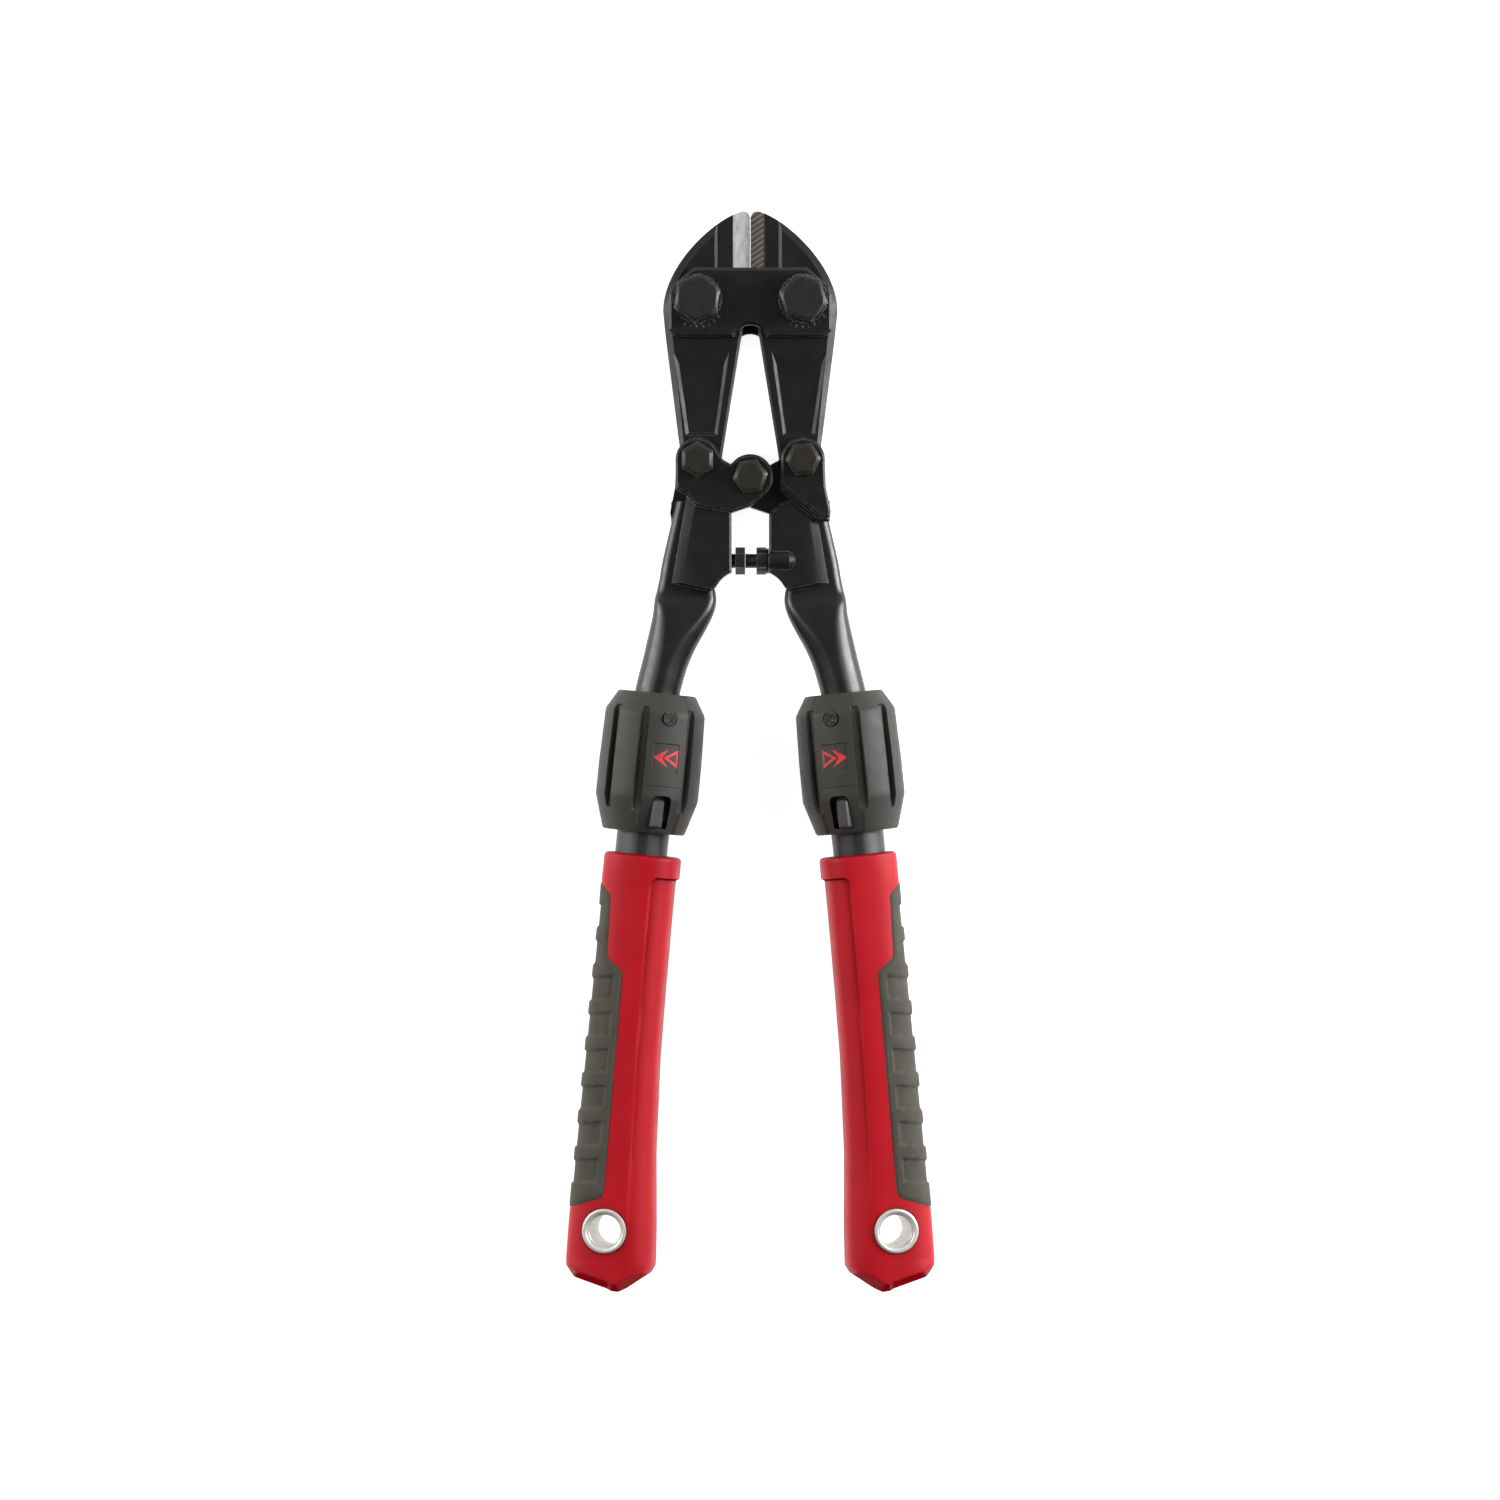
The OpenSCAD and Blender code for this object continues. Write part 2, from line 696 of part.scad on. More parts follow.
// The cam pushes the lock pin in as the collar turns
cam_rim_r = 18.3;
cam_open_r = 17.4;
pin_travel = 2;
button_half_angle = 5;
function cam_r(a) =
    let (turned = (a - button_half_angle) / lock_twist)
    a > button_half_angle + lock_twist + 4 ? cam_open_r : cam_open_r - pin_travel * min(max(turned, 0), 1);
cam_steps = 120;

module cam_ring(side) {
    color(nylon) lift() on_side(side) in_handle() difference() {
        translate([0, 0, 8]) cylinder(r = cam_rim_r, h = 32);
        // Over the pin the ring's inside falls away against the twist
        translate([0, 0, 13.5]) linear_extrude(40) polygon([
            for (i = [0:cam_steps - 1])
                let (a = i * 360 / cam_steps)
                polar(cam_r(a <= 90 ? 90 - a : 360), a)
        ]);
        translate([0, 0, 7]) cylinder(r = 13, h = 20);
        in_screw_holes() cylinder(r = 1.25, h = 30);
    }
}
module in_screw_holes() {
    for (half_turn = [0, 180])
        rotate([0, 0, panel_angle + half_turn])
            translate([0, 0, collar_screw_place]) rotate([0, 90, 0]) children();
}
module left_cam_ring() cam_ring(-1);
module right_cam_ring() cam_ring(1);

// ---------- Locks ----------

pin_tip = 9.75;
pin_flange = 14.1;
pin_button = 17.2;

module lock_pin(side) {
    color(ring_metal) lift() on_side(side) in_handle()
        translate([0, 0, lock_place]) rotate([-90, 0, 0]) {
            translate([0, 0, pin_tip]) cylinder(r = pin_r, h = pin_flange - pin_tip + 0.1);
            translate([0, 0, pin_flange]) cylinder(r = 3.6, h = 0.8);
            translate([0, 0, pin_flange]) cylinder(r = 1.4, h = pin_button - pin_flange);
        }
}
module left_lock_pin() lock_pin(-1);
module right_lock_pin() lock_pin(1);

// Conical spring: one wire that climbs from the housing's floor to the pin's flange
spring_wire_r = 0.22;
spring_turns = 2.5;
spring_steps = 50;
spring_low = 11.5 + spring_wire_r;
spring_high = pin_flange - spring_wire_r;
function spring_ring(i) =
    let (
        f = i / spring_steps,
        a = 360 * spring_turns * f,
        r = 3.5 - 0.65 * f,
        h = spring_low + (spring_high - spring_low) * f
    )
    [for (k = [0:5])
        let (w = polar(spring_wire_r, -60 * k))
        [(r + w.x) * cos(a), (r + w.x) * sin(a), h + w.y]];

module lock_spring(side) {
    color(ring_metal) lift() on_side(side) in_handle()
        translate([0, 0, lock_place]) rotate([-90, 0, 0])
            skin([for (i = [0:spring_steps]) spring_ring(i)]);
}
module left_lock_spring() lock_spring(-1);
module right_lock_spring() lock_spring(1);

front_strap();
rear_strap();
jaw_bolts();
jaw_nuts();
jaw_lock_washers();
left_jaw();
left_link_bolt();
left_link_nut();
right_jaw();
right_link_bolt();
right_link_nut();
left_arm();
left_neck_tube();
left_tube_guide();
left_stop_screw();
centre_bolt();
centre_washer();
centre_nut();
right_arm();
right_neck_tube();
right_tube_guide();
right_stop_screw();
right_stop_nut();
left_outer_tube();
left_mouth_bush();
left_lock_housing();
left_grip();
left_grip_rubber();
left_lanyard_ring();
right_outer_tube();
right_mouth_bush();
right_lock_housing();
right_grip();
right_grip_rubber();
right_lanyard_ring();
left_collar_front();
left_collar_rear();
left_collar_screws();
left_cam_ring();
right_collar_front();
right_collar_rear();
right_collar_screws();
right_cam_ring();
left_lock_pin();
left_lock_spring();
right_lock_pin();
right_lock_spring();
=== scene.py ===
"""Telescoping bolt cutters: the looks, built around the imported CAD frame.

Lengths inside the builders are millimetres in a piece's own local frame, and mesh_object
turns them into metres in the row frame. Most right-hand pieces are the left ones mirrored.
"""
import json
import math

import bmesh
import bpy
from mathutils import Matrix, Vector


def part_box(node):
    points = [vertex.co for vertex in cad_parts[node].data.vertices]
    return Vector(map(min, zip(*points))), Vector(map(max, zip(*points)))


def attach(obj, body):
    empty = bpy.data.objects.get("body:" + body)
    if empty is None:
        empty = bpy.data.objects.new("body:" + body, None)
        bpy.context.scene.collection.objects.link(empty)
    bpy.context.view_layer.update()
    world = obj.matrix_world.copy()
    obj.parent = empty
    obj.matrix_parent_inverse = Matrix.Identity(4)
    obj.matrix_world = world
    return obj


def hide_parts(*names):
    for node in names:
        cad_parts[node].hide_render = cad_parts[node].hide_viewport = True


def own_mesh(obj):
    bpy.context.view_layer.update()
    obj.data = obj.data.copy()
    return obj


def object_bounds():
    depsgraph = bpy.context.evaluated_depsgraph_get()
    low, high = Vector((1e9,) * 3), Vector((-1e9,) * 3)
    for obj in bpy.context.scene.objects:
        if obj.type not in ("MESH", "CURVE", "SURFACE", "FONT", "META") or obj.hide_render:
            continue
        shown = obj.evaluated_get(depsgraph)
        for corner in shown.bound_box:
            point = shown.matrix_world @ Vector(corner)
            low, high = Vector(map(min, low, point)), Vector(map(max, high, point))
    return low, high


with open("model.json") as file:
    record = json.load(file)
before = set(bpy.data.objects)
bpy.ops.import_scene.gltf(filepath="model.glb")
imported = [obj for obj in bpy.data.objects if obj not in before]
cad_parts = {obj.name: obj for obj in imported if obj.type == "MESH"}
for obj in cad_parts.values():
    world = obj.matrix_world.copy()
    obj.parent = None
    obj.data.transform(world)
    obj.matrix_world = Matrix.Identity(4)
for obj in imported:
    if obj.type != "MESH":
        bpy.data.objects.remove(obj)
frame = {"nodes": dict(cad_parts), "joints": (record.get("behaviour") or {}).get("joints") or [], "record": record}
cad_low, cad_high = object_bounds()
MM = 0.001
LEFT, RIGHT = "left", "right"

# ---- places from the frame

joints = {j["name"]: j for j in frame["joints"]}


def joint_place(name):
    return Vector(joints[name]["pos_m"]) / MM


jaw_pivot = joint_place("left_jaw_pivot")
link_pivot = joint_place("left_handle_swing")
collar_top = joint_place("left_collar_twist")
handle_way = Vector(joints["left_handle_slide"]["axis"])
mid_z = jaw_pivot.z
jaw_x = -jaw_pivot.x
jaw_y = jaw_pivot.y
jaw_tail = jaw_pivot.y - link_pivot.y
washer_low, washer_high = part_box("centre_washer")
centre_y = (washer_low.y + washer_high.y) / 2 / MM
centre_drop = link_pivot.y - centre_y
strap_low, strap_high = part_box("front_strap")
ear_in = strap_low.z / MM - mid_z
ear_out = strap_high.z / MM - mid_z
jaw_half = ear_in - 0.15
ring_mount = next(m for m in frame["record"]["mounts"] if m["name"] == "left_lanyard_bore")
ring_at = Vector(ring_mount["pos_m"]) / MM
ring_way = Vector(ring_mount["axis"])
ring_bore_r = ring_mount["dims"]["r_mm"]
ring_half = ring_mount["dims"]["length_mm"] / 2
grip_roll = math.asin(math.hypot(ring_way.x, ring_way.y))

inner_way = Vector((-handle_way.y, handle_way.x, 0))
HANDLE = Matrix((
    (inner_way.x, 0, handle_way.x, collar_top.x),
    (inner_way.y, 0, handle_way.y, collar_top.y),
    (0, 1, 0, collar_top.z),
    (0, 0, 0, 1),
))
FLAT = Matrix.Identity(4)
MIRROR = Matrix.Scale(-1, 4, (1, 0, 0))


def moved(place, x, y, z=0):
    """A place shifted along its own axes."""
    return place @ Matrix.Translation((x, y, z))


def turned(place, angle, axis="Z"):
    """A place turned about its own axis."""
    return place @ Matrix.Rotation(angle, 4, axis)


ROLLED = turned(HANDLE, grip_roll)
HEAD = moved(FLAT, 0, jaw_y, mid_z)
CENTRE = moved(FLAT, 0, centre_y, mid_z)
TURNED_OVER = turned(CENTRE, math.pi, "Y")


def on_side(matrix, side):
    """A left place as it stands, or its mirror image for the right side."""
    return matrix if side == LEFT else MIRROR @ matrix


# ---- small geometry tools


def lerp(a, b, t):
    return a + (b - a) * t


def smooth(t):
    t = min(max(t, 0.0), 1.0)
    return t * t * (3 - 2 * t)


def along(points, x):
    """Piecewise linear value at x through (x, y) points."""
    if x <= points[0][0]:
        return points[0][1]
    for (x0, y0), (x1, y1) in zip(points, points[1:]):
        if x <= x1:
            return lerp(y0, y1, (x - x0) / (x1 - x0))
    return points[-1][1]


def bezier(p, n):
    """n + 1 points along a cubic curve with four control points."""
    out = []
    for i in range(n + 1):
        t = i / n
        weights = ((1 - t) ** 3, 3 * t * (1 - t) ** 2, 3 * t * t * (1 - t), t ** 3)
        out.append((sum(w * q[0] for w, q in zip(weights, p)), sum(w * q[1] for w, q in zip(weights, p))))
    return out


def arc(cx, cy, r, a0, a1, n):
    """n + 1 points round an arc, from a0 to a1 degrees."""
    angles = [math.radians(lerp(a0, a1, i / n)) for i in range(n + 1)]
    return [(cx + r * math.cos(a), cy + r * math.sin(a)) for a in angles]


def rounded(points, radii, n=5):
    """A closed outline with each corner rounded by its radius."""
    out = []
    count = len(points)
    for i, (p, r) in enumerate(zip(points, radii)):
        p = Vector(p)
        before = Vector(points[i - 1]) - p
        after = Vector(points[(i + 1) % count]) - p
        if r <= 0:
            out.append(tuple(p))
            continue
        half = before.angle(after) / 2
        reach = min(r / math.tan(half), before.length * 0.48, after.length * 0.48)
        a = p + before.normalized() * reach
        b = p + after.normalized() * reach
        for k in range(n + 1):
            t = k / n
            out.append(tuple(a.lerp(p, t).lerp(p.lerp(b, t), t)))
    return out


def area(points):
    return sum(points[i - 1][0] * points[i][1] - points[i][0] * points[i - 1][1] for i in range(len(points)))


def listed(value, count):
    """A list as it is, or one value repeated."""
    return value if isinstance(value, list) else [value] * count


def inset(points, widths):
    """A closed outline moved inwards, the edge from each point to the next by its own width."""
    slight_turn = 0.25
    count = len(points)
    widths = listed(widths, count)
    turn = 1 if area(points) > 0 else -1
    edges = []
    for i in range(count):
        a, b = Vector(points[i]), Vector(points[(i + 1) % count])
        way = (b - a).normalized()
        normal = Vector((-way.y, way.x)) * turn
        edges.append((a + normal * widths[i], way, normal))
    out = []
    for i in range(count):
        (p, u, n1), (q, v, n2) = edges[i - 1], edges[i]
        cross = u.x * v.y - u.y * v.x
        if abs(cross) < slight_turn:
            width = (widths[i - 1] + widths[i]) / 2
            out.append(tuple(Vector(points[i]) + (n1 + n2).normalized() * width))
        else:
            t = ((q - p).x * v.y - (q - p).y * v.x) / cross
            out.append(tuple(p + u * t))
    return out


def add_object(name, data):
    obj = bpy.data.objects.new(name, data)
    bpy.context.scene.collection.objects.link(obj)
    return obj


def mesh_object(name, verts, faces, matrix, angle=30):
    """A closed mesh object in the row frame from local millimetres, with its faces turned outwards."""
    mesh = bpy.data.meshes.new(name)
    mesh.from_pydata([tuple((matrix @ Vector(v)) * MM) for v in verts], [], faces)
    mesh.validate()
    work = bmesh.new()
    work.from_mesh(mesh)
    bmesh.ops.recalc_face_normals(work, faces=work.faces)
    work.to_mesh(mesh)
    work.free()
    obj = add_object(name, mesh)
    shade(obj, angle)
    return obj


def shade(obj, angle=30):
    """Smooth shading, with edges over angle degrees left sharp."""
    obj.data.polygons.foreach_set("use_smooth", [True] * len(obj.data.polygons))
    obj.data.set_sharp_from_angle(angle=math.radians(angle))


def loft(rings, closed_ends=True):
    """Vertices and faces of a skin over rings of equal point counts."""
    n = len(rings[0])
    verts = [p for ring in rings for p in ring]
    faces = []
    for i in range(len(rings) - 1):
        for k in range(n):
            m = (k + 1) % n
            faces.append((i * n + k, i * n + m, (i + 1) * n + m, (i + 1) * n + k))
    if closed_ends:
        faces.append(tuple(range(n - 1, -1, -1)))
        faces.append(tuple((len(rings) - 1) * n + k for k in range(n)))
    return verts, faces


def lathe(profile, n=64, closed=True):
    """Turns (radius, height) points about z. A closed profile makes a ring, an open one a plug."""
    rings = [[(r * math.cos(2 * math.pi * k / n), r * math.sin(2 * math.pi * k / n), h) for k in range(n)]
             for r, h in profile]
    if not closed:
        return loft(rings)
    verts, faces = loft(rings + [rings[0]], closed_ends=False)
    count = len(rings) * n
    return verts[:count], [tuple(v % count for v in f) for f in faces]


def modify(obj, kind, **values):
    modifier = obj.modifiers.new(kind.lower(), kind)
    for key, value in values.items():
        setattr(modifier, key, value)
    return modifier


def apply_modifiers(obj):
    graph = bpy.context.evaluated_depsgraph_get()
    mesh = bpy.data.meshes.new_from_object(obj.evaluated_get(graph))
    old = obj.data
    obj.modifiers.clear()
    obj.data = mesh
    bpy.data.meshes.remove(old)


def combine(obj, others, operation):
    """Works the others' solids into obj for good and removes them."""
    for other in others:
        modify(obj, "BOOLEAN", operation=operation, object=other, solver="EXACT")
    bpy.context.view_layer.update()
    apply_modifiers(obj)
    for other in others:
        mesh = other.data
        bpy.data.objects.remove(other)
        bpy.data.meshes.remove(mesh)


def cut(obj, *cutters):
    combine(obj, cutters, "DIFFERENCE")


def join_solids(obj, *others):
    combine(obj, others, "UNION")


def soften(obj, width, angle=28):
    """Breaks the sharp edges of obj, so that they catch the light."""
    weld_gap = 0.02
    modify(obj, "WELD", merge_threshold=weld_gap * MM)
    modify(obj, "BEVEL", width=width * MM, segments=2, limit_method="ANGLE",
           angle_limit=math.radians(angle), harden_normals=True, use_clamp_overlap=True)


def prism(name, outline, z0, z1, matrix, low=0.0, high=0.0, slope=1.0):
    """An extruded outline. low and high are chamfer widths, one or a list with one for each edge."""
    count = len(outline)
    low, high = listed(low, count), listed(high, count)
    depth_low = [slope * (low[i - 1] + low[i]) / 2 for i in range(count)]
    depth_high = [slope * (high[i - 1] + high[i]) / 2 for i in range(count)]
    rings = [[(x, y, z0 + d) for (x, y), d in zip(outline, depth_low)],
             [(x, y, z1 - d) for (x, y), d in zip(outline, depth_high)]]
    if max(low) > 0:
        rings.insert(0, [(x, y, z0) for x, y in inset(outline, low)])
    if max(high) > 0:
        rings.append([(x, y, z1) for x, y in inset(outline, high)])
    return mesh_object(name, *loft(rings), matrix)


def block(rings, matrix):
    """A lofted cutter."""
    return mesh_object("cutter", *loft(rings), matrix)


def plug(profile, matrix, n):
    """A turned cutter."""
    return mesh_object("cutter", *lathe(profile, n, closed=False), matrix)


def rod(r, low, high, matrix, n=48):
    return plug([(r, low), (r, high)], matrix, n)


def drill(r, matrix, through=20):
    """A round cutter that goes right through a piece."""
    return rod(r, -through, through, matrix)


# ---- materials


def srgb(*levels):
    """A linear colour from display levels of 0 to 255."""
    return tuple(((v / 255 + 0.055) / 1.055) ** 2.4 if v > 10 else v / 255 / 12.92 for v in levels) + (1.0,)


def set_inputs(node, **values):
    """Sets a node's constants; a name's underscores stand for spaces."""
    for name, value in values.items():
        node.inputs[name.replace("_", " ")].default_value = value


noise_roughness = 0.55
looks = {}


class Look:
    """A procedural material, built up a step at a time around one Principled shader."""

    def __init__(self, name, color, roughness, metallic=0.0, specular=0.5):
        looks[name] = self.material = bpy.data.materials.new(name)
        self.material.use_nodes = True
        self.tree = self.material.node_tree
        self.shader = self.tree.nodes["Principled BSDF"]
        set_inputs(self.shader, Base_Color=color, Roughness=roughness, Metallic=metallic,
                   Specular_IOR_Level=specular)
        self.color = color
        self.coords = self.node("ShaderNodeTexCoord").outputs["Object"]

    def node(self, kind, **values):
        made = self.tree.nodes.new(kind)
        for key, value in values.items():
            setattr(made, key, value)
        return made

    def link(self, a, b):
        self.tree.links.new(a, b)

    def base(self):
        """The base colour's socket, and the colour that feeds it so far."""
        socket = self.shader.inputs["Base Color"]
        return socket, socket.links[0].from_socket if socket.is_linked else self.color

    def noise(self, size_mm, detail=4.0, stretch=(1, 1, 1)):
        coords = self.coords
        if stretch != (1, 1, 1):
            mapping = self.node("ShaderNodeMapping")
            set_inputs(mapping, Scale=stretch)
            self.link(coords, mapping.inputs["Vector"])
            coords = mapping.outputs["Vector"]
        made = self.node("ShaderNodeTexNoise")
        set_inputs(made, Scale=1 / (size_mm * MM), Detail=detail, Roughness=noise_roughness)
        self.link(coords, made.inputs["Vector"])
        return made.outputs["Fac"]

    def ramp(self, value, low, high, out_low=0.0, out_high=1.0):
        made = self.node("ShaderNodeMapRange")
        set_inputs(made, From_Min=low, From_Max=high, To_Min=out_low, To_Max=out_high)
        self.link(value, made.inputs["Value"])
        return made.outputs["Result"]

    def mix(self, factor, a, b):
        made = self.node("ShaderNodeMix", data_type="RGBA")
        self.link(factor, made.inputs["Factor"])
        for socket, value in ((made.inputs[6], a), (made.inputs[7], b)):
            if hasattr(value, "is_linked"):
                self.link(value, socket)
            else:
                socket.default_value = value
        return made.outputs[2]

    def times(self, a, b):
        made = self.node("ShaderNodeMath", operation="MULTIPLY")
        self.link(a, made.inputs[0])
        self.link(b, made.inputs[1])
        return made.outputs[0]

    def mottle(self, other, size_mm, low=0.35, high=0.65, stretch=(1, 1, 1)):
        """Drifts the colour towards other in soft patches."""
        base, current = self.base()
        patches = self.ramp(self.noise(size_mm, stretch=stretch), low, high)
        self.link(self.mix(patches, current, other), base)
        return self

    def uneven_gloss(self, size_mm, low, high):
        """Lets the roughness drift between low and high."""
        value = self.ramp(self.noise(size_mm), 0.3, 0.7, low, high)
        self.link(value, self.shader.inputs["Roughness"])
        return self

    def edge_highlight_and_wear(self, other, width_mm, amount):
        """Lightens the edges in patches: a painted highlight along the edges, partly standing for wear where
        handling rubs them.
        """
        patch_mm = 2.0
        bevel = self.node("ShaderNodeBevel", samples=6)
        set_inputs(bevel, Radius=width_mm * MM)
        geometry = self.node("ShaderNodeNewGeometry")
        dot = self.node("ShaderNodeVectorMath", operation="DOT_PRODUCT")
        self.link(bevel.outputs["Normal"], dot.inputs[0])
        self.link(geometry.outputs["Normal"], dot.inputs[1])
        edge = self.ramp(dot.outputs["Value"], 0.995, 0.93, 0.0, amount)
        broken = self.times(edge, self.ramp(self.noise(patch_mm, 5.0), 0.35, 0.6))
        base, current = self.base()
        self.link(self.mix(broken, current, other), base)
        return self

    def painted_crevice_shade(self, other, reach_mm, low=0.35, high=0.85):
        """Paints shade into the colour, darkening it towards other where the surface is tucked in."""
        found = self.node("ShaderNodeAmbientOcclusion", samples=6)
        set_inputs(found, Distance=reach_mm * MM)
        base, current = self.base()
        self.link(self.mix(self.ramp(found.outputs["AO"], low, high), other, current), base)
        return self

    def painted_shade_turned_away(self, other, start, full):
        """Paints shade on the faces that look back past the butt: darkens their colour and dulls them."""
        split = self.node("ShaderNodeSeparateXYZ")
        self.link(self.node("ShaderNodeTexCoord").outputs["Normal"], split.inputs["Vector"])
        share = self.ramp(split.outputs["Y"], start, full, 0.0, 0.5)
        gloss = self.shader.inputs["Specular IOR Level"]
        self.link(self.ramp(split.outputs["Y"], start, full, gloss.default_value, 0.0), gloss)
        base, current = self.base()
        self.link(self.mix(share, current, other), base)
        return self

    def bump(self, height, depth_mm):
        """Adds a relief of the given depth to the relief so far."""
        made = self.node("ShaderNodeBump")
        set_inputs(made, Distance=depth_mm * MM, Strength=1.0)
        self.link(height, made.inputs["Height"])
        normal = self.shader.inputs["Normal"]
        if normal.is_linked:
            self.link(normal.links[0].from_socket, made.inputs["Normal"])
        self.link(made.outputs["Normal"], normal)
        return self

    def grain(self, size_mm, depth_mm, stretch=(1, 1, 1)):
        return self.bump(self.noise(size_mm, stretch=stretch), depth_mm)


look = Look("forged_black", srgb(20, 20, 21), 0.36, specular=0.3)
look.mottle(srgb(26, 25, 25), 9.0).uneven_gloss(6.0, 0.3, 0.44)
# The pale edge colour is a painted highlight, with some wear where handling rubs
look.edge_highlight_and_wear(srgb(150, 150, 152), 0.45, 0.75).grain(1.6, 0.03).grain(0.35, 0.012)

look = Look("bolt_black", srgb(33, 31, 28), 0.36, specular=0.4)
look.mottle(srgb(42, 38, 32), 4.0).uneven_gloss(3.0, 0.28, 0.42)
# The pale edge colour is a painted highlight, with some wear where handling rubs
look.edge_highlight_and_wear(srgb(190, 186, 178), 0.4, 0.8).grain(0.5, 0.01)

look = Look("dark_bolt", srgb(27, 27, 27), 0.34, specular=0.5)
look.mottle(srgb(34, 33, 32), 5.0).uneven_gloss(3.0, 0.28, 0.4)
# The pale edge colour is a painted highlight, with some wear where handling rubs
look.edge_highlight_and_wear(srgb(200, 200, 198), 0.4, 0.85).grain(0.5, 0.01)

look = Look("ground_steel", srgb(176, 176, 173), 0.45, specular=0.35)
look.mottle(srgb(132, 132, 129), 2.2, 0.42, 0.72, stretch=(1, 0.35, 1))
look.grain(0.25, 0.012, stretch=(1, 0.08, 1))

# The right blade's bevel: dark, with slanting grinding lines
slant, wave_size = math.radians(-32), 6.4
look = Look("file_cut_steel", srgb(66, 61, 58), 0.45, specular=0.35)
mapping = look.node("ShaderNodeMapping")
set_inputs(mapping, Rotation=(0, 0, slant))
look.link(look.coords, mapping.inputs["Vector"])
wave = look.node("ShaderNodeTexWave", wave_type="BANDS", bands_direction="Y")
set_inputs(wave, Scale=1 / (wave_size * MM), Distortion=0.6)
look.link(mapping.outputs["Vector"], wave.inputs["Vector"])
lines = look.ramp(wave.outputs["Fac"], 0.2, 0.8)
look.link(look.mix(lines, srgb(28, 26, 25), srgb(106, 99, 93)), look.shader.inputs["Base Color"])
look.bump(lines, 0.06)

look = Look("tube_black", srgb(18, 18, 18), 0.3, specular=0.5)
look.mottle(srgb(23, 23, 22), 12.0).uneven_gloss(5.0, 0.26, 0.34)
look.grain(0.4, 0.01)

look = Look("tube_grey", srgb(36, 36, 35), 0.32, specular=0.55)
look.mottle(srgb(43, 42, 40), 10.0).uneven_gloss(5.0, 0.28, 0.38)
look.grain(0.35, 0.01)

look = Look("moulded_grey", srgb(54, 53, 50), 0.5, specular=0.35)
look.mottle(srgb(56, 54, 50), 14.0).uneven_gloss(7.0, 0.44, 0.58)
# The paler edges are a painted highlight with some wear; near-black painted shade fills the grooves and recesses
look.edge_highlight_and_wear(srgb(96, 94, 88), 0.4, 0.5).painted_crevice_shade(srgb(8, 8, 8), 5.0)
look.grain(0.5, 0.035)

look = Look("dark_nylon", srgb(58, 56, 60), 0.45, specular=0.4)
look.mottle(srgb(66, 64, 68), 6.0).grain(0.6, 0.02)

look = Look("red_plastic", srgb(187, 17, 32), 0.46, specular=0.22)
look.mottle(srgb(179, 13, 28), 25.0).uneven_gloss(12.0, 0.4, 0.5)
# The light red edges are a painted highlight with some wear; dark red painted shade lines the seams round the
# rubber
look.edge_highlight_and_wear(srgb(216, 52, 60), 0.5, 0.35).painted_crevice_shade(srgb(96, 2, 10), 2.5)
# Dark red painted shade where the floor closes in round the grip, and on the faces turned back past the butt
look.painted_crevice_shade(srgb(84, 0, 8), 30.0, 0.6, 0.93).painted_shade_turned_away(srgb(118, 2, 12), -0.3, -0.8)
look.grain(0.7, 0.02)

look = Look("grip_rubber", srgb(80, 77, 69), 0.7, specular=0.25)
look.mottle(srgb(73, 70, 62), 10.0).uneven_gloss(4.0, 0.62, 0.78)
# The paler edges are a painted highlight with some wear; dark painted shade lines the gap round the insert and its
# pockets
look.edge_highlight_and_wear(srgb(104, 102, 94), 0.4, 0.5).painted_crevice_shade(srgb(20, 19, 17), 1.9)
look.grain(0.45, 0.05)

look = Look("machined_aluminium", srgb(226, 224, 218), 0.42, metallic=0.45)
# Painted shade darkens the ring where it is tucked into the grip
look.mottle(srgb(212, 208, 202), 6.0).uneven_gloss(5.0, 0.36, 0.46).painted_crevice_shade(srgb(120, 112, 110), 3.0)
look.grain(0.3, 0.01, stretch=(1, 1, 0.1))

look = Look("plated_steel", srgb(180, 180, 176), 0.3, metallic=0.9)
look.mottle(srgb(160, 160, 156), 3.0).grain(0.3, 0.008)

look = Look("mark_red", srgb(226, 46, 50), 0.45)
look.mottle(srgb(200, 40, 46), 3.0).grain(0.5, 0.01)


def put_on(obj, *names):
    """Dresses an object in one or more looks."""
    obj.data.materials.clear()
    for name in names:
        obj.data.materials.append(looks[name])


def finish_piece(obj, look, body, slot, *nodes):
    """Gives a piece its look, if it has none yet, and its body, and hides the CAD nodes it stands for; slot is not
    used.
    """
    if look:
        put_on(obj, look)
    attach(obj, body)
    if nodes:
        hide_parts(*nodes)


def dress_node(node, look, bevel=0.0, angle=30):
    """Keeps a CAD node, with broken edges and a procedural look."""
    obj = frame["nodes"][node]
    put_on(obj, look)
    if bevel:
        soften(obj, bevel, angle)


# ---- jaws

chamfer_slope = 0.62
panel_floor = jaw_half - 0.9
blade_sections = {
    LEFT: [(1, 0.25), (-0.02, 0.25), (-7.2, 3.4), (-7.3, 4.5), (-14.0, 4.9), (-15.3, 6.4), (-15.3, 9),
           (1, 9)],
    RIGHT: [(1, 0.25), (-0.02, 0.25), (-5.7, 3.3), (-6.0, 4.4), (-12.0, 4.8), (-13.8, 6.4), (-13.8, 9),
            (1, 9)],
}
jaw_hole_r = 6.05
link_hole_r = 4.02
blade_top = 60
# Least and most front or rear share of a ground face's normal
ground_share = (0.3, 0.97)


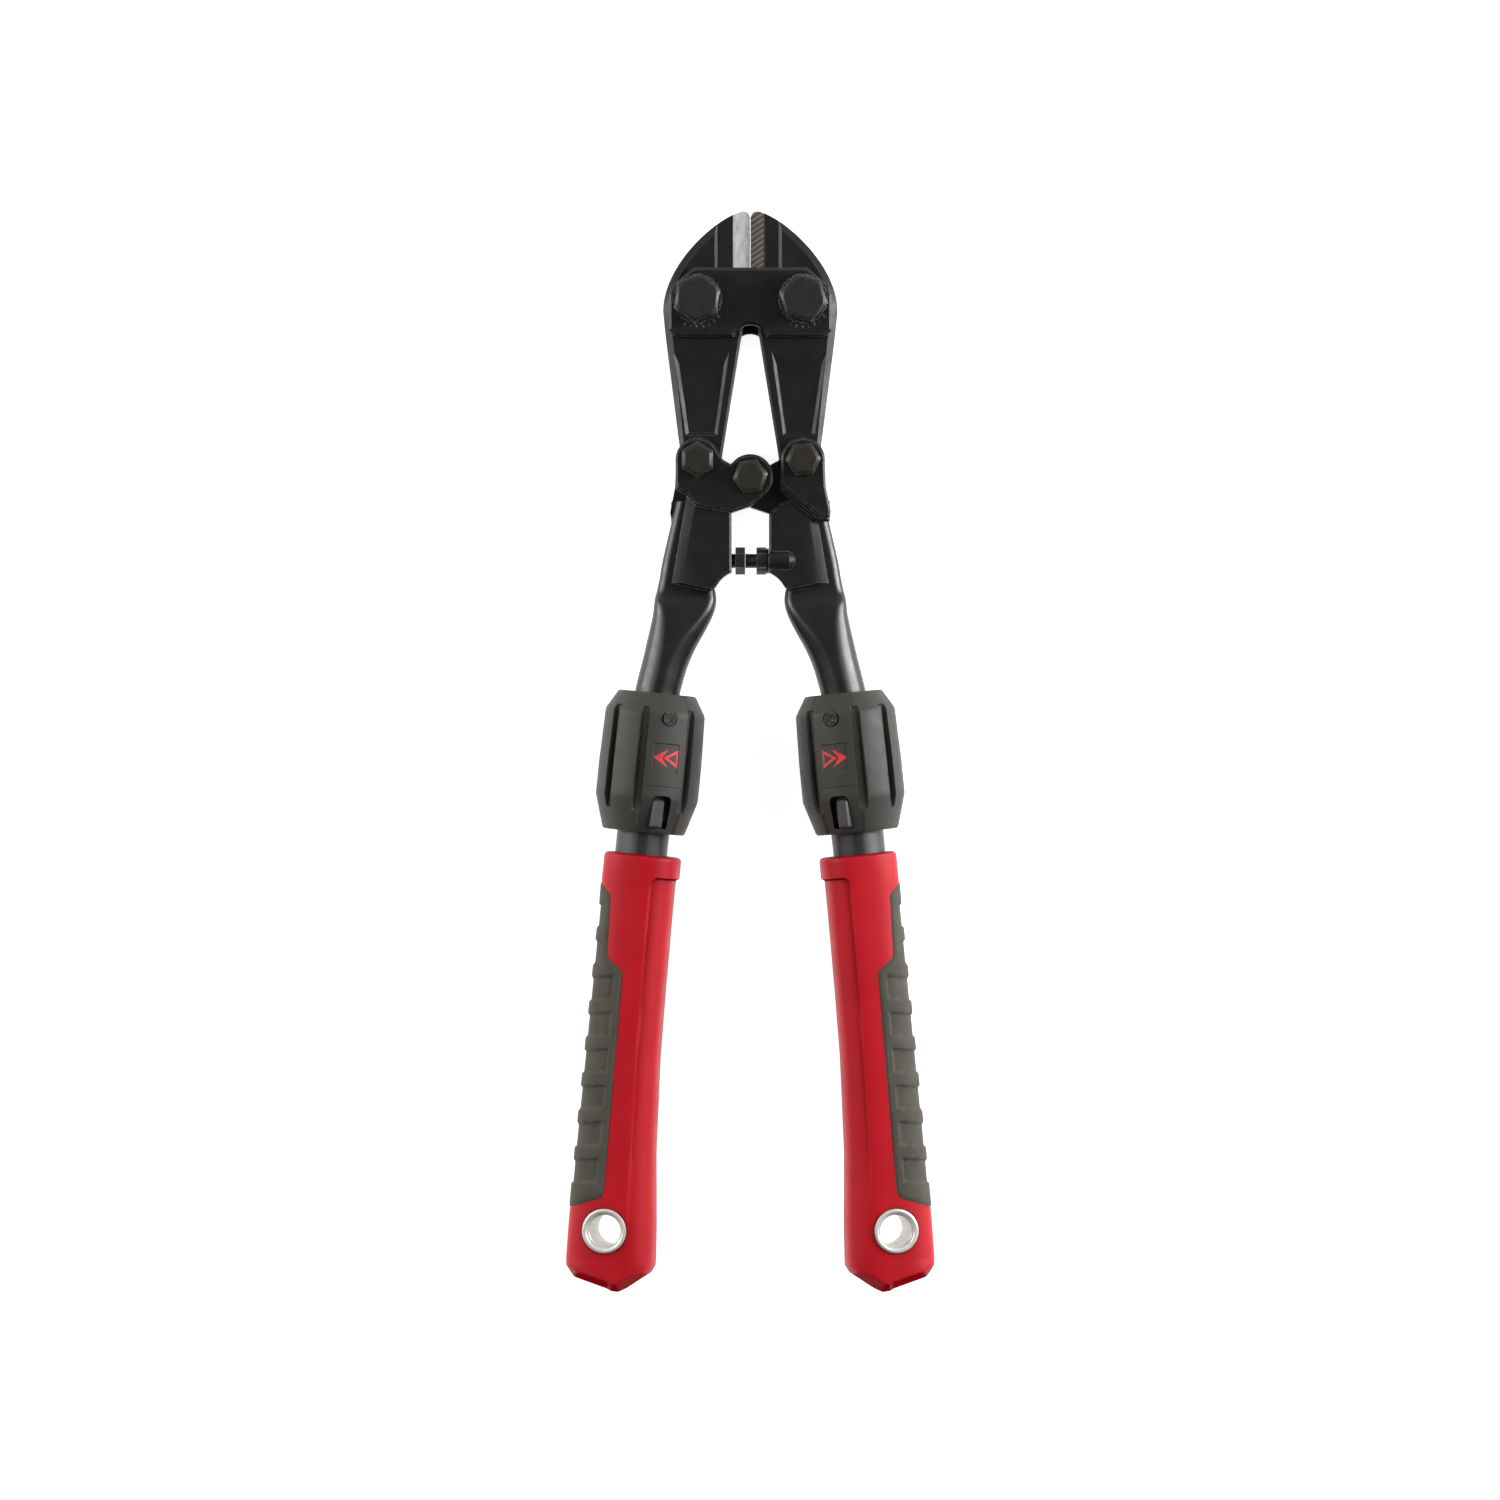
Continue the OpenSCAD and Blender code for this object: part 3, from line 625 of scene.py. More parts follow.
def jaw_outline():
    """The left jaw about the jaw pivot line; x is negative, from the centreline."""
    reach = cad_high.y / MM - jaw_y
    side = bezier([(-3.2, reach - 0.05), (-17, 33.4), (-37, 13.5), (-36.9, -4.8)], 26)
    tail = arc(-jaw_x, -jaw_tail, 8.5, 190, 350, 14)
    return ([(-0.1, 0.5), (-0.1, 35.6), (-0.9, reach - 0.8), (-1.8, reach - 0.2)] + side
            + [(-36.2, -12), (-35.2, -20.6), (-29.9, 5.6 - jaw_tail)] + tail
            + [(-12.4, -jaw_tail), (-12, 1.6 - jaw_tail), (-4, -16.7), (-2.6, -10), (-0.8, -2)])


def jaw_chamfer(x, y):
    """Chamfer width at a place on the outline: full on the outer contour, slight towards the V."""
    at_edge, in_v, full, at_tip, at_tail = 0.02, 1.0, 2.9, 0.6, 0.9
    if x > -3 and y > 0:
        return at_edge
    if x > -14 and y < 1:
        return in_v
    if y > 28:
        return lerp(full, at_tip, smooth((y - 28) / 9))
    return lerp(full, at_tail, smooth((-50 - y) / 12))


def jaw_body(name):
    outline = jaw_outline()
    count = len(outline)
    middles = [(Vector(outline[i]) + Vector(outline[(i + 1) % count])) / 2 for i in range(count)]
    widths = [jaw_chamfer(m.x, m.y) for m in middles]
    return prism(name, outline, -jaw_half, jaw_half, HEAD, widths, widths, chamfer_slope)


def blade_cutter(side, face):
    """What is ground off the blade's front (face 1) or rear (face -1)."""
    section = blade_sections[side]
    return block([[(x, y, z * face) for x, z in section] for y in (blade_top, 0)], HEAD)


def panel_cutter(face):
    """The shallow panel in the jaw's long shank, with sloping walls."""
    outline = [(-32.4, -22.0), (-9.0, -22.0), (-13.9, -57.2), (-27.3, -57.2)]
    rings = [[(x, y, panel_floor * face) for x, y in inset(outline, [5.0, 1.3, 1.0, 1.5])],
             [(x, y, jaw_half * face) for x, y in outline],
             [(x, y, (jaw_half + 2) * face) for x, y in outline]]
    return block(rings, HEAD)


def to_side(obj, side):
    """Leaves a left piece as it is, or turns it into the right one."""
    if side == RIGHT:
        obj.data.transform(MIRROR)
        obj.data.flip_normals()


def make_jaw(side, ground):
    name = side + "_jaw"
    obj = jaw_body(name + "_body")
    cut(obj, blade_cutter(side, 1), blade_cutter(side, -1), panel_cutter(1), panel_cutter(-1),
        drill(link_hole_r, moved(HEAD, -jaw_x, -jaw_tail)),
        drill(jaw_hole_r, moved(HEAD, -jaw_x, 0)))
    to_side(obj, side)
    put_on(obj, "forged_black", ground)
    bevel_width = -blade_sections[side][2][0]
    least, most = ground_share
    for face in obj.data.polygons:
        middle = face.center / MM
        if middle.y > jaw_y and abs(middle.x) < bevel_width and least < abs(face.normal.z) < most:
            face.material_index = 1
    shade(obj, 20)
    soften(obj, 0.28, 18)
    finish_piece(obj, None, name, "black_steel", name)


make_jaw(LEFT, "ground_steel")
make_jaw(RIGHT, "file_cut_steel")

# ---- straps and bolts

notch_r = 7
mark_count, mark_step, mark_from, mark_r = 7, 13, -78, 11.7
mark_size = [(-0.2, -0.55), (0.2, -0.55), (0.2, 0.55), (-0.2, 0.55)]
mark_depth = 0.3


def make_strap(name, z0, z1, face, notch_top):
    """A side strap: chamfered plate with an arched notch and staking marks under the bolt heads."""
    half = [(-24, 13.3), (-33.4, 5.2), (-34.4, 2), (-34.4, -13.2), (-31.4, -15.9)]
    outline = rounded(half + [(-x, y) for x, y in reversed(half)], [1.4] * 10, 4)
    low, high = (0.3, 1.1) if face > 0 else (1.1, 0.3)
    obj = prism(name + "_body", outline, z0, z1, HEAD, low, high, 0.8)
    outside = max(abs(z0), abs(z1))
    notch = [(notch_r, -20), (notch_r, outside - 1.3), (notch_r + 1.5, outside + 0.01), (notch_r + 1.5, 20)]
    notch_place = moved(HEAD, 0, notch_top - notch_r)
    cutters = [plug([(r, z * face) for r, z in notch], notch_place, 64)]
    for k in (-1, 1):
        cutters.append(drill(jaw_hole_r, moved(HEAD, k * jaw_x, 0)))
        for i in range(mark_count):
            turn = math.radians(mark_from + mark_step * (i - mark_count // 2))
            x, y = k * jaw_x + mark_r * math.cos(turn), mark_r * math.sin(turn)
            spot = turned(moved(HEAD, x, y, outside * face), turn + math.pi / 2)
            cutters.append(prism("cutter", mark_size, -mark_depth, mark_depth, spot))
    cut(obj, *cutters)
    soften(obj, 0.2)
    finish_piece(obj, "forged_black", "side_plates", "black_steel", name)


make_strap("front_strap", ear_in, ear_out, 1, -10.8)
make_strap("rear_strap", -ear_out, -ear_in, -1, -13.6)


def bolt_solid(node_place, flats, shank_r, head_low, head_high, tail, turn, bevel):
    """A forged hex bolt: a bevelled head, chamfered round its top, and a shank with a lead-in."""
    lead, top_slope = 0.7, 0.52
    place = turned(node_place, math.radians(turn))
    hexagon = arc(0, 0, flats / 2 / math.cos(math.pi / 6), 0, 300, 5)
    obj = prism("bolt", hexagon, head_low, head_high, place, 0.3, bevel, 0.5)
    top_r = flats / 2 - bevel + 0.55
    shank = [(shank_r - lead, tail), (shank_r, tail + lead), (shank_r, head_low + 1)]
    join_solids(obj, mesh_object("shank", *lathe(shank, 48, False), place))
    corner = [(flats, head_high - top_slope * (flats - top_r)), (top_r, head_high), (top_r, head_high + 1),
              (flats, head_high + 1)]
    cut(obj, mesh_object("cutter", *lathe(corner, 64), place))
    return obj


def make_bolts(name, look, body, places, turns, flats, bevel, shank_r, head_low, head_h, tail):
    made = [bolt_solid(place, flats, shank_r, head_low, head_low + head_h, tail, turn, bevel)
            for place, turn in zip(places, turns)]
    obj = made[0]
    if len(made) > 1:
        join_solids(obj, *made[1:])
    obj.name = name + "_forged"
    shade(obj, 25)
    soften(obj, 0.25, 20)
    finish_piece(obj, look, body, "bolt_steel", name)


# Flats, top bevel, shank radius, underside of the head and its height
jaw_bolt_sizes = (18, 1.2, 6, ear_out + 1, 7.5)
link_bolt_sizes = (13, 1.5, 4, ear_out + 0.1, 5.3)
jaw_places = [moved(HEAD, k * jaw_x, 0) for k in (-1, 1)]
make_bolts("jaw_bolts", "dark_bolt", "side_plates", jaw_places, (23, -12), *jaw_bolt_sizes, 0.15 - mid_z)
for side, k, turn in ((LEFT, -1, 30), (RIGHT, 1, 3)):
    link_place = moved(HEAD, k * jaw_x, -jaw_tail)
    make_bolts(side + "_link_bolt", "bolt_black", side + "_jaw", [link_place], (turn,), *link_bolt_sizes,
               -20.2)
make_bolts("centre_bolt", "bolt_black", "left_arm", [CENTRE], (8,), *link_bolt_sizes, -20.6)

# Each lock spring gets a mesh of its own
side_looks = {
    "outer_tube": "tube_grey", "tube_guide": "dark_nylon", "mouth_bush": "dark_nylon",
    "cam_ring": "dark_nylon", "lock_pin": "plated_steel", "lock_spring": "plated_steel",
    "collar_screws": "forged_black",
}
for node in ("jaw_nuts", "left_link_nut", "right_link_nut", "centre_nut", "centre_washer",
             "left_stop_screw", "right_stop_nut", "right_stop_screw"):
    dress_node(node, "bolt_black", 0.35, 20)
dress_node("jaw_lock_washers", "bolt_black", 0.12)
for side in (LEFT, RIGHT):
    for node, look in side_looks.items():
        dress_node(side + "_" + node, look)
    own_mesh(frame["nodes"][side + "_lock_spring"])

# ---- arms

# Both arms are the same forging, turned over on the right
lap_gap = 0.1
front_face = 9.0
rear_face = 6.6
wander = (-1.31, -0.55)
wander_room = 11.32
stop_y = -35.2
ear_spot = moved(FLAT, -jaw_x, centre_drop)


def arm_part(outline, z0, z1, low=0.0, high=0.0, slope=1.0):
    return prism("part", outline, z0, z1, FLAT, low, high, slope)


def main_plate(top, z0, z1, low, high):
    """The plate that grips the neck tube; its outer edge has a wide bevel."""
    outline = ([(-26.4, -6), (-33.2, -44.8), (-24.8, -47), (-16.8, -48.5)]
               + arc(-3, -52.1, 12.9, 153, 112, 10) + [(-7.9, -33), (-7.9, -15.3)] + top)
    bevels = [4.0, 1.4, 1.4] + [0.9] * (len(outline) - 3)
    return arm_part(outline, z0, z1, bevels if low else 0.0, bevels if high else 0.0, 0.6)


def stop_screw_boss():
    profile = [(4.4, 0), (4.4, 8.6), (3.9, 9.6), (2.6, 10.9), (1.4, 11.5), (0.4, 11.7)]
    place = turned(moved(FLAT, -7.9, stop_y, 2.2 - rear_face), -math.pi / 2, "Y")
    return mesh_object("part", *lathe(profile, 40, False), place)


def arm_cutters(bolt_r, bolt_at):
    """Room for the jaw's tail and the other arm, the neck tube's socket, and the holes."""
    socket = [(-31.3, -10), (-22, -10), (-19.5, -34), (-16.4, -43), (-14.8, -49), (-39.6, -49), (-36.9, -34)]
    screw_way = turned(moved(FLAT, -7, stop_y), -math.pi / 2, "Y")
    return [rod(11, -ear_in, ear_in, ear_spot, 64),
            rod(wander_room, -30, lap_gap, moved(FLAT, *wander), 64),
            arm_part(socket, -4, 4),
            drill(4.05, ear_spot),
            drill(bolt_r, moved(FLAT, *bolt_at)),
            rod(3, 0, 11, screw_way)]


def arm_forging(name, place, bolt_r, bolt_at):
    front = (arc(-jaw_x, centre_drop, 9.3, 38, 181, 24) + [(-31.5, -4.9), (-26.8, -7.7), (-23.2, -12.1),
             (-7.9, -15.1), (0, -12.4)] + arc(0, 0, 9.6, -46, 140, 30) + [(-8.3, 5.4), (-11.6, 7.3)])
    rear = ([(-12.8, -3.4), (-30, -17), (-33.6, -17), (-34, -14.6), (-31.9, -4)]
            + arc(-jaw_x, centre_drop, 9.3, 189, -4, 30))
    step = [(-12.8, -2), (-12.8, -6.2), (-28.0, -18.8), (-33.6, -18.8), (-33.6, -10)]
    obj = main_plate([(-7.9, -13), (-20, -6)], lap_gap, front_face, False, True)
    join_solids(obj, arm_part(front, lap_gap, ear_out, 0, 0.9, 0.7))
    back = main_plate([(-12.8, -11)], -rear_face, lap_gap, True, False)
    join_solids(back, arm_part(rear, -ear_out, lap_gap, 0.9, 0, 0.7),
                arm_part(step, -ear_out + 2.2, -rear_face + 0.5, 1.2, 0, 0.6), stop_screw_boss())
    join_solids(obj, back)
    cut(obj, *arm_cutters(bolt_r, bolt_at))
    obj.data.transform(Matrix.Translation(place.translation * MM) @ place.to_3x3().to_4x4())
    obj.name = name + "_forging"
    shade(obj, 22)
    soften(obj, 0.35, 22)
    finish_piece(obj, "forged_black", name, "black_steel", name)


arm_forging("left_arm", CENTRE, 4.0, (0, 0))
arm_forging("right_arm", TURNED_OVER, 5.67, wander)

# ---- neck tubes

tube_r = 9.525
tube_bore_r = 7.925
tube_end = 214.0
neck_sides = 72
lock_places = (30.0, 182.0)
lock_hole_r = 2.6

# Stations of the neck: centre x, y, half width, half thickness, corner radius, heading in degrees
neck_stations = [
    (-26.7, 105.5, 4.6, 3.9, 3.0, 0), (-28.2, 81.7, 8.7, 3.9, 3.6, 0),
    (-27.4, 72.7, 11.1, 3.95, 3.7, 0), (-27.2, 67.3, 12.5, 4.0, 3.8, 0),
    (-27.4, 63.7, 13.0, 5.0, 4.4, -6), (-28.3, 60, 12.7, 6.3, 5.2, -13),
    (-30.3, 54, 11.6, 7.7, 6.9, -19), (-32.4, 48.5, 10.7, 8.5, 8.0, -19.5),
    (-34.5, 42.5, 10.0, 9.0, 8.8, -18), (-36.3, 36.5, 9.6, 9.3, 9.3, -15),
    (-37.8, 31, 9.525, 9.5, 9.5, -12), (-38.85, 27, 9.525, 9.525, 9.5, -8.5),
]


def corner_ring(w, t, r):
    """Points round a rounded rectangle of half width w, half thickness t and corner radius r."""
    r = min(r, w, t)
    out = []
    for k in range(neck_sides):
        a = 2 * math.pi * (k + 0.5) / neck_sides
        c, d = math.cos(a), math.sin(a)
        out.append((math.copysign(w - r, c) + r * c, math.copysign(t - r, d) + r * d))
    return out


def catmull(values, position):
    """A smooth value between listed ones, at a fractional position in the list."""
    i = min(int(position), len(values) - 2)
    t = position - i
    p = [values[max(i - 1, 0)], values[i], values[i + 1], values[min(i + 2, len(values) - 1)]]
    return 0.5 * (2 * p[1] + (p[2] - p[0]) * t + (2 * p[0] - 5 * p[1] + 4 * p[2] - p[3]) * t * t
                  + (3 * p[1] - p[0] - 3 * p[2] + p[3]) * t ** 3)


def neck_ring(position):
    """The neck's section at a fractional station, in the row frame."""
    x, y, w, t, r, heading = (catmull([s[i] for s in neck_stations], position) for i in range(6))
    c, d = math.cos(math.radians(heading)), math.sin(math.radians(heading))
    return [(x + px * c, y + px * d, mid_z + pz) for px, pz in corner_ring(w, t, r)]


def handle_ring(r, place):
    """A round section of the straight tube, in the row frame."""
    return [tuple(HANDLE @ Vector((x, y, place))) for x, y in corner_ring(r, r, r)]


def to_front(place):
    """A cutter's way out through the front of a handle's tubes."""
    return turned(moved(HANDLE, 0, 0, place), -math.pi / 2, "X")


def make_neck(side):
    name = side + "_neck_tube"
    between = 5
    steps = between * (len(neck_stations) - 1)
    rings = [neck_ring(i / between) for i in range(steps + 1)]
    rings += [handle_ring(tube_r, place) for place in (0, 2, 60, 120, 180, tube_end - 0.5)]
    rings += [handle_ring(tube_r - 0.4, tube_end), handle_ring(tube_bore_r, tube_end),
              handle_ring(tube_bore_r, 4)]
    obj = mesh_object(name + "_body", *loft(rings), FLAT)
    cut(obj, *(rod(lock_hole_r, 5, 15, to_front(place), 32) for place in lock_places))
    to_side(obj, side)
    shade(obj, 35)
    finish_piece(obj, "tube_black", side + "_arm", "neck_tube_paint", name)


for side in (LEFT, RIGHT):
    make_neck(side)

# ---- twist collars

panel_turn = math.radians(71)
COLLAR = turned(HANDLE, panel_turn)
panel_half = 29.5
groove_angles = (29.5, 68.5)
groove_floor = 19.2
groove_half = 1.95
groove_flat = 1.25
groove_low, groove_high = 6.8, 49.2
pad_half = 5.75
pad_low, pad_high = 21.0, 33.0
pad_depth = 0.45
# Place along the collar and radius of its lands
land_profile = [(0, 16.0), (0.6, 16.7), (7.6, 20.8), (8.6, 21.1), (30, 21.7), (44, 21.7), (45.2, 21.5),
                (58.2, 17.6), (59, 16.9)]
# Radius and place of the bore's steps
collar_inside = [(11.8, 59), (11.8, 56.8), (15.7, 56.8), (15.7, 46), (18.35, 43.5), (18.35, 7.5), (13, 7.5),
                 (13, 3), (10.4, 3), (10.4, 0)]
collar_places = [0, 0.3, 0.6, 2, 4, 5.2, 6, 6.8, 7.6, 8.1, 8.6, 10, 14, 20.8, 21.3, 25, 29, 32.7, 33.2, 36,
                 38.9, 39.3, 42, 44, 44.6, 45.2, 47, 49.2, 50, 51, 52.5, 55, 58.2, 58.6, 59]
# Millimetres to a degree of arc at the lands
arc_mm = math.radians(1) * 20.5


def collar_radius(angle, place):
    """The outer radius of a collar shell at an angle from its panel's middle and a place along it."""
    panel_sag, panel_crown, step_at, step_depth = 0.95, 0.6, 39.1, 0.28
    off = abs(angle)
    radius = along(land_profile, place)
    if off < panel_half:
        radius -= panel_sag - panel_crown * (off / panel_half) ** 2
        if place > step_at:
            radius -= step_depth
        if off * arc_mm < pad_half and pad_low < place < pad_high:
            radius -= pad_depth
    for groove in groove_angles:
        across = abs(off - groove) * arc_mm
        if across <= groove_half:
            wall = max(0.0, across - groove_flat) / 0.7 * 2.5
            ends = 1.2 * max(0.0, groove_low - place, place - groove_high)
            radius = min(radius, groove_floor + wall + ends)
    return radius


def collar_angles():
    """The angles of a shell's sections, close together where its surface turns sharply."""
    marks = {-89.85, 89.85, 0}
    for k in (-1, 1):
        for groove in groove_angles:
            marks |= {k * (groove + d) for d in (-5.6, -5.44, -3.5, -3, 0, 3, 3.5, 5.44, 5.6)}
        marks |= {k * (pad_half / arc_mm + d) for d in (-0.8, 0.1)}
        marks |= {k * a for a in (4, 8, 12, 19, 21.5, 38.5, 42, 46, 50, 54, 58, 61, 77, 81, 85)}
    return sorted(marks)


def collar_point(angle, radius, place):
    return radius * math.cos(math.radians(angle)), radius * math.sin(math.radians(angle)), place


def collar_form(name, place):
    rings = []
    for angle in collar_angles():
        outer = [collar_point(angle, collar_radius(angle, s), s) for s in collar_places]
        rings.append(outer + [collar_point(angle, r, s) for r, s in collar_inside])
    return mesh_object(name, *loft(rings), place)


def window_cutter(place):
    outline = rounded([(-4.5, 43.0), (4.0, 43.0), (4.0, 56.8), (-4.5, 56.8)], [2.6, 2.6, 0.4, 0.4])
    return block([[(x, y, s) for y, s in outline] for x in (12, 26)], place)


def screw_cutter(place):
    """A screw's way in from outside, with its counterbore."""
    way = turned(moved(place, 0, 0, 10.3), math.pi / 2, "Y")
    return plug([(1.4, 12), (1.4, 19.4), (3.5, 19.4), (3.6, 26)], way, 40)


def make_housing(side):
    """The nylon ring under the collar, with the lock tab that stands in the collar's window."""
    name = side + "_lock_housing"
    obj = mesh_object(name + "_body", *lathe([(11.12, 20), (15.1, 20), (15.1, 54), (11.12, 54)], 72),
                      on_side(HANDLE, side))
    outline = rounded([(-1.5, 44.9), (3.5, 44.9), (3.7, 56.4), (-1.3, 56.4)], [1.2, 1.2, 0.6, 0.6], 4)
    rings = [[(x, y, s) for y, s in ring] for x, ring in
             ((14.6, outline), (19.7, outline), (20.4, inset(outline, 0.7)))]
    join_solids(obj, mesh_object("tab", *loft(rings), on_side(COLLAR, side)))
    way = on_side(to_front(lock_places[0]), side)
    cut(obj, rod(3.9, 11.5, 21.5, way), rod(2.45, 0, 20, way))
    shade(obj, 30)
    soften(obj, 0.25)
    finish_piece(obj, "dark_nylon", side + "_handle", "inner_plastic", name)


def make_collar(side):
    for half, place in (("front", COLLAR), ("rear", turned(COLLAR, math.pi))):
        name = side + "_collar_" + half
        obj = collar_form(name + "_shell", place)
        cutters = [screw_cutter(place)]
        if half == "front":
            cutters.append(window_cutter(place))
        cut(obj, *cutters)
        to_side(obj, side)
        shade(obj, 24)
        soften(obj, 0.22, 24)
        finish_piece(obj, "moulded_grey", side + "_collar", "collar_plastic", name)


def arrow_slices():
    """A solid arrow head and an outlined triangle behind it: rows of (across, low, high) slices."""
    tip, barb, notch, reach, middle = 5.5, -1.1, 1.7, 3.9, 27.0
    second_tip, second_end, line = 0.9, -5.7, 0.95
    slope = reach / (tip - barb)
    steps = [i / 6 for i in range(7)]
    head = [(lerp(tip - 0.1, notch, t), slope * (tip - lerp(tip - 0.1, notch, t))) for t in steps]
    rows = [[(u, middle - h, middle + h) for u, h in head]]
    for k in (-1, 1):
        row = []
        for t in steps:
            u = lerp(notch, barb + 0.1, t)
            near = reach * (notch - u) / (notch - barb)
            row.append((u, middle + k * near, middle + k * slope * (tip - u)))
        rows.append(row)
        row = []
        for t in steps:
            u = lerp(second_tip - 0.15, second_end + line - 0.1, t)
            high = slope * (second_tip - u)
            row.append((u, middle + k * max(0.0, high - 1.25 * line), middle + k * high))
        rows.append(row)
    ends = [(u, slope * (second_tip - u)) for u in (second_end + line - 0.1, second_end)]
    rows.append([(u, middle - h, middle + h) for u, h in ends])
    return rows


def make_arrow(side):
    """The red mark lies in the collar's pad and points away from the centreline."""
    sunk, proud = -0.4, 0.12
    verts, faces = [], []
    for row in arrow_slices():
        rings = []
        for across, low, high in row:
            angle = across / arc_mm
            corners = [(low, sunk), (low, proud), (high, proud), (high, sunk)]
            rings.append([collar_point(angle, collar_radius(angle, s) + lift, s) for s, lift in corners])
        points, sides = loft(rings)
        faces += [tuple(len(verts) + i for i in face) for face in sides]
        verts += points
    obj = mesh_object(side + "_arrow", verts, faces, on_side(COLLAR, side))
    finish_piece(obj, "mark_red", side + "_collar", "grip_plastic")


for side in (LEFT, RIGHT):
    make_collar(side)
    make_housing(side)
    make_arrow(side)

# ---- grips

lip_end = 77.4
grip_sides = 160

# Stations of a grip: place, outer half width, inner half width, half thickness, squareness
grip_stations = [
    (68.5, 13.4, 15.2, 13.6, 2.7), (68.75, 14.3, 16.1, 14.5, 2.7), (69.4, 15.0, 16.8, 15.2, 2.7),
    (70.2, 15.2, 17.0, 15.4, 2.7), (78, 15.2, 17.0, 15.35, 2.8), (90, 15.0, 17.0, 15.0, 2.8),
    (124, 15.0, 17.3, 14.7, 2.8), (153, 15.0, 17.7, 14.6, 2.8), (193, 15.0, 19.7, 14.5, 2.8),
    (225, 14.7, 22.6, 14.5, 2.9), (241, 14.15, 23.4, 14.3, 3.2), (244.3, 13.65, 21.8, 14.3, 3.6),
    (248.9, 9.2, 16.0, 14.3, 5), (252.4, -5.3, 11.6, 14.0, 7), (253.3, -7.2, 10.2, 13.6, 8)
]
# The butt's outline, and the band along it that is bevelled down by butt_drop
butt_edge = [(-14.3, 241), (-13.8, 244.3), (-9.2, 248.9), (5.3, 252.4), (7.2, 253.3), (10.2, 253.3),
             (11.6, 252.4), (16.0, 248.9), (21.8, 244.3), (23.4, 241)]
butt_band = 3.6
butt_drop = 6.2
butt_from = 236
crease_line = [(78, 7.2), (133, 8.0), (193, 10.2), (240, 12.5)]
facet_depth = [(78, 1.4), (124, 1.2), (153, 1.0), (193, 0.7), (225, 0.3), (238, 0.0)]
pocket_pitch = 15.5
pocket_first = 120.8 + 5.1
pocket_half = 5.1


def grip_values(place):
    """The grip's outer and inner half widths, half thickness and squareness at a place."""
    return [along([(s[0], s[i]) for s in grip_stations], place) for i in range(1, 5)]


def distance_to_path(x, y, path):
    best = 1e9
    for (x0, y0), (x1, y1) in zip(path, path[1:]):
        dx, dy = x1 - x0, y1 - y0
        t = min(max(((x - x0) * dx + (y - y0) * dy) / (dx * dx + dy * dy), 0), 1)
        best = min(best, math.hypot(x - x0 - t * dx, y - y0 - t * dy))
    return best


def facet_share(x, place):
    """How far the moulding has stepped down into its inner facet: 0 outside, 1 inside."""
    crease = along(crease_line, place)
    corner, wall = 4.0, 0.9
    dx, ds = x - crease, place - lip_end
    if dx <= 0 or ds <= 0:
        return 0.0
    if dx < corner and ds < corner:
        inside = corner - math.hypot(corner - dx, corner - ds)
    else:
        inside = min(dx, ds)
    return smooth(inside / wall)


def grip_surface(place, grow=0.0, dips=None):
    """One ring of the grip's surface; dips(x, place) gives how deep it is pressed in."""
    outer, inner, thick, square = grip_values(place)
    half = (outer + inner) / 2 + grow
    middle = (inner - outer) / 2
    ring = []
    for k in range(grip_sides):
        a = 2 * math.pi * (k + 0.5) / grip_sides
        c, d = math.cos(a), math.sin(a)
        reach = (abs(c) ** square + abs(d) ** square) ** (-1 / square)
        x = half * reach * c
        y = (thick + grow) * reach * d
        nx = math.copysign((abs(x) / half) ** (square - 1), x) / half
        ny = math.copysign((abs(y) / (thick + grow)) ** (square - 1), y) / (thick + grow)
        size = math.hypot(nx, ny)
        nx, ny = nx / size, ny / size
        x += middle
        dip = along(facet_depth, place) * facet_share(x, place)
        if dips:
            dip += dips(x, place)
        x, y = x - nx * dip, y - ny * dip
        if place > butt_from:
            near = distance_to_path(x, place, butt_edge)
            cap = thick + grow - butt_drop * (1 - min(near / butt_band, 1.0))
            y = math.copysign(min(abs(y), cap), y)
        ring.append((x, y, place))
    return ring


def spread(low, high, step):
    """Even places from low up to but not including high."""
    count = max(1, round((high - low) / step))
    return [lerp(low, high, i / count) for i in range(count)]


def grip_places():
    return ([68.5, 68.62, 68.75, 69, 69.4, 69.8, 70.2] + spread(71, 77, 1.5) + spread(77, 83, 0.45)
            + spread(83, butt_from, 3) + spread(butt_from, 250, 0.45) + spread(250, 253, 0.3) + [253, 253.3])


rubber_edge = [(-20, 82), (-14.4, 82), (-9, 86.5), (-7.8, 113), (-0.4, 118.3), (1, 211.5), (-0.3, 214.2),
               (-15.2, 220.4), (-20, 220.4)]
rubber_corners = [0, 0, 3.2, 3.5, 4, 3, 3, 1.5, 0]
rubber_line = rounded(rubber_edge, rubber_corners)
rubber_t = 2.9


def rubber_prism(shrink):
    """The rubber insert's side view as a solid block across the grip."""
    outline = inset(rubber_line, shrink) if shrink else rubber_line
    outline = [(x - (5 if x < -16 else 0), s) for x, s in outline]
    return block([[(x, y, s) for x, s in outline] for y in (-25, 25)], ROLLED)


def grip_core(grow):
    """The grip's surface moved out by grow, as a solid under the rubber."""
    low, high, step = 76, 232, 6
    return block([grip_surface(s, grow) for s in spread(low, high, step) + [high]], ROLLED)


def rubber_dips(line):
    """The rubber's rolled rim and its row of slanting pockets."""
    rim_drop, rim_width, margin = 0.55, 1.1, 3.2
    pocket_depth, pocket_wall, slant = 0.85, 0.6, 0.18
    edge = [p for p in line if p[0] > -19]

    def dips(x, place):
        near = distance_to_path(x, place, edge)
        dip = rim_drop * (1 - smooth(near / rim_width))
        for i in range(-2, 6):
            middle = pocket_first + i * pocket_pitch - slant * (x + 8)
            inside = min(pocket_half - abs(place - middle), near - margin)
            dip += pocket_depth * smooth(inside / pocket_wall)
        return dip
    return dips


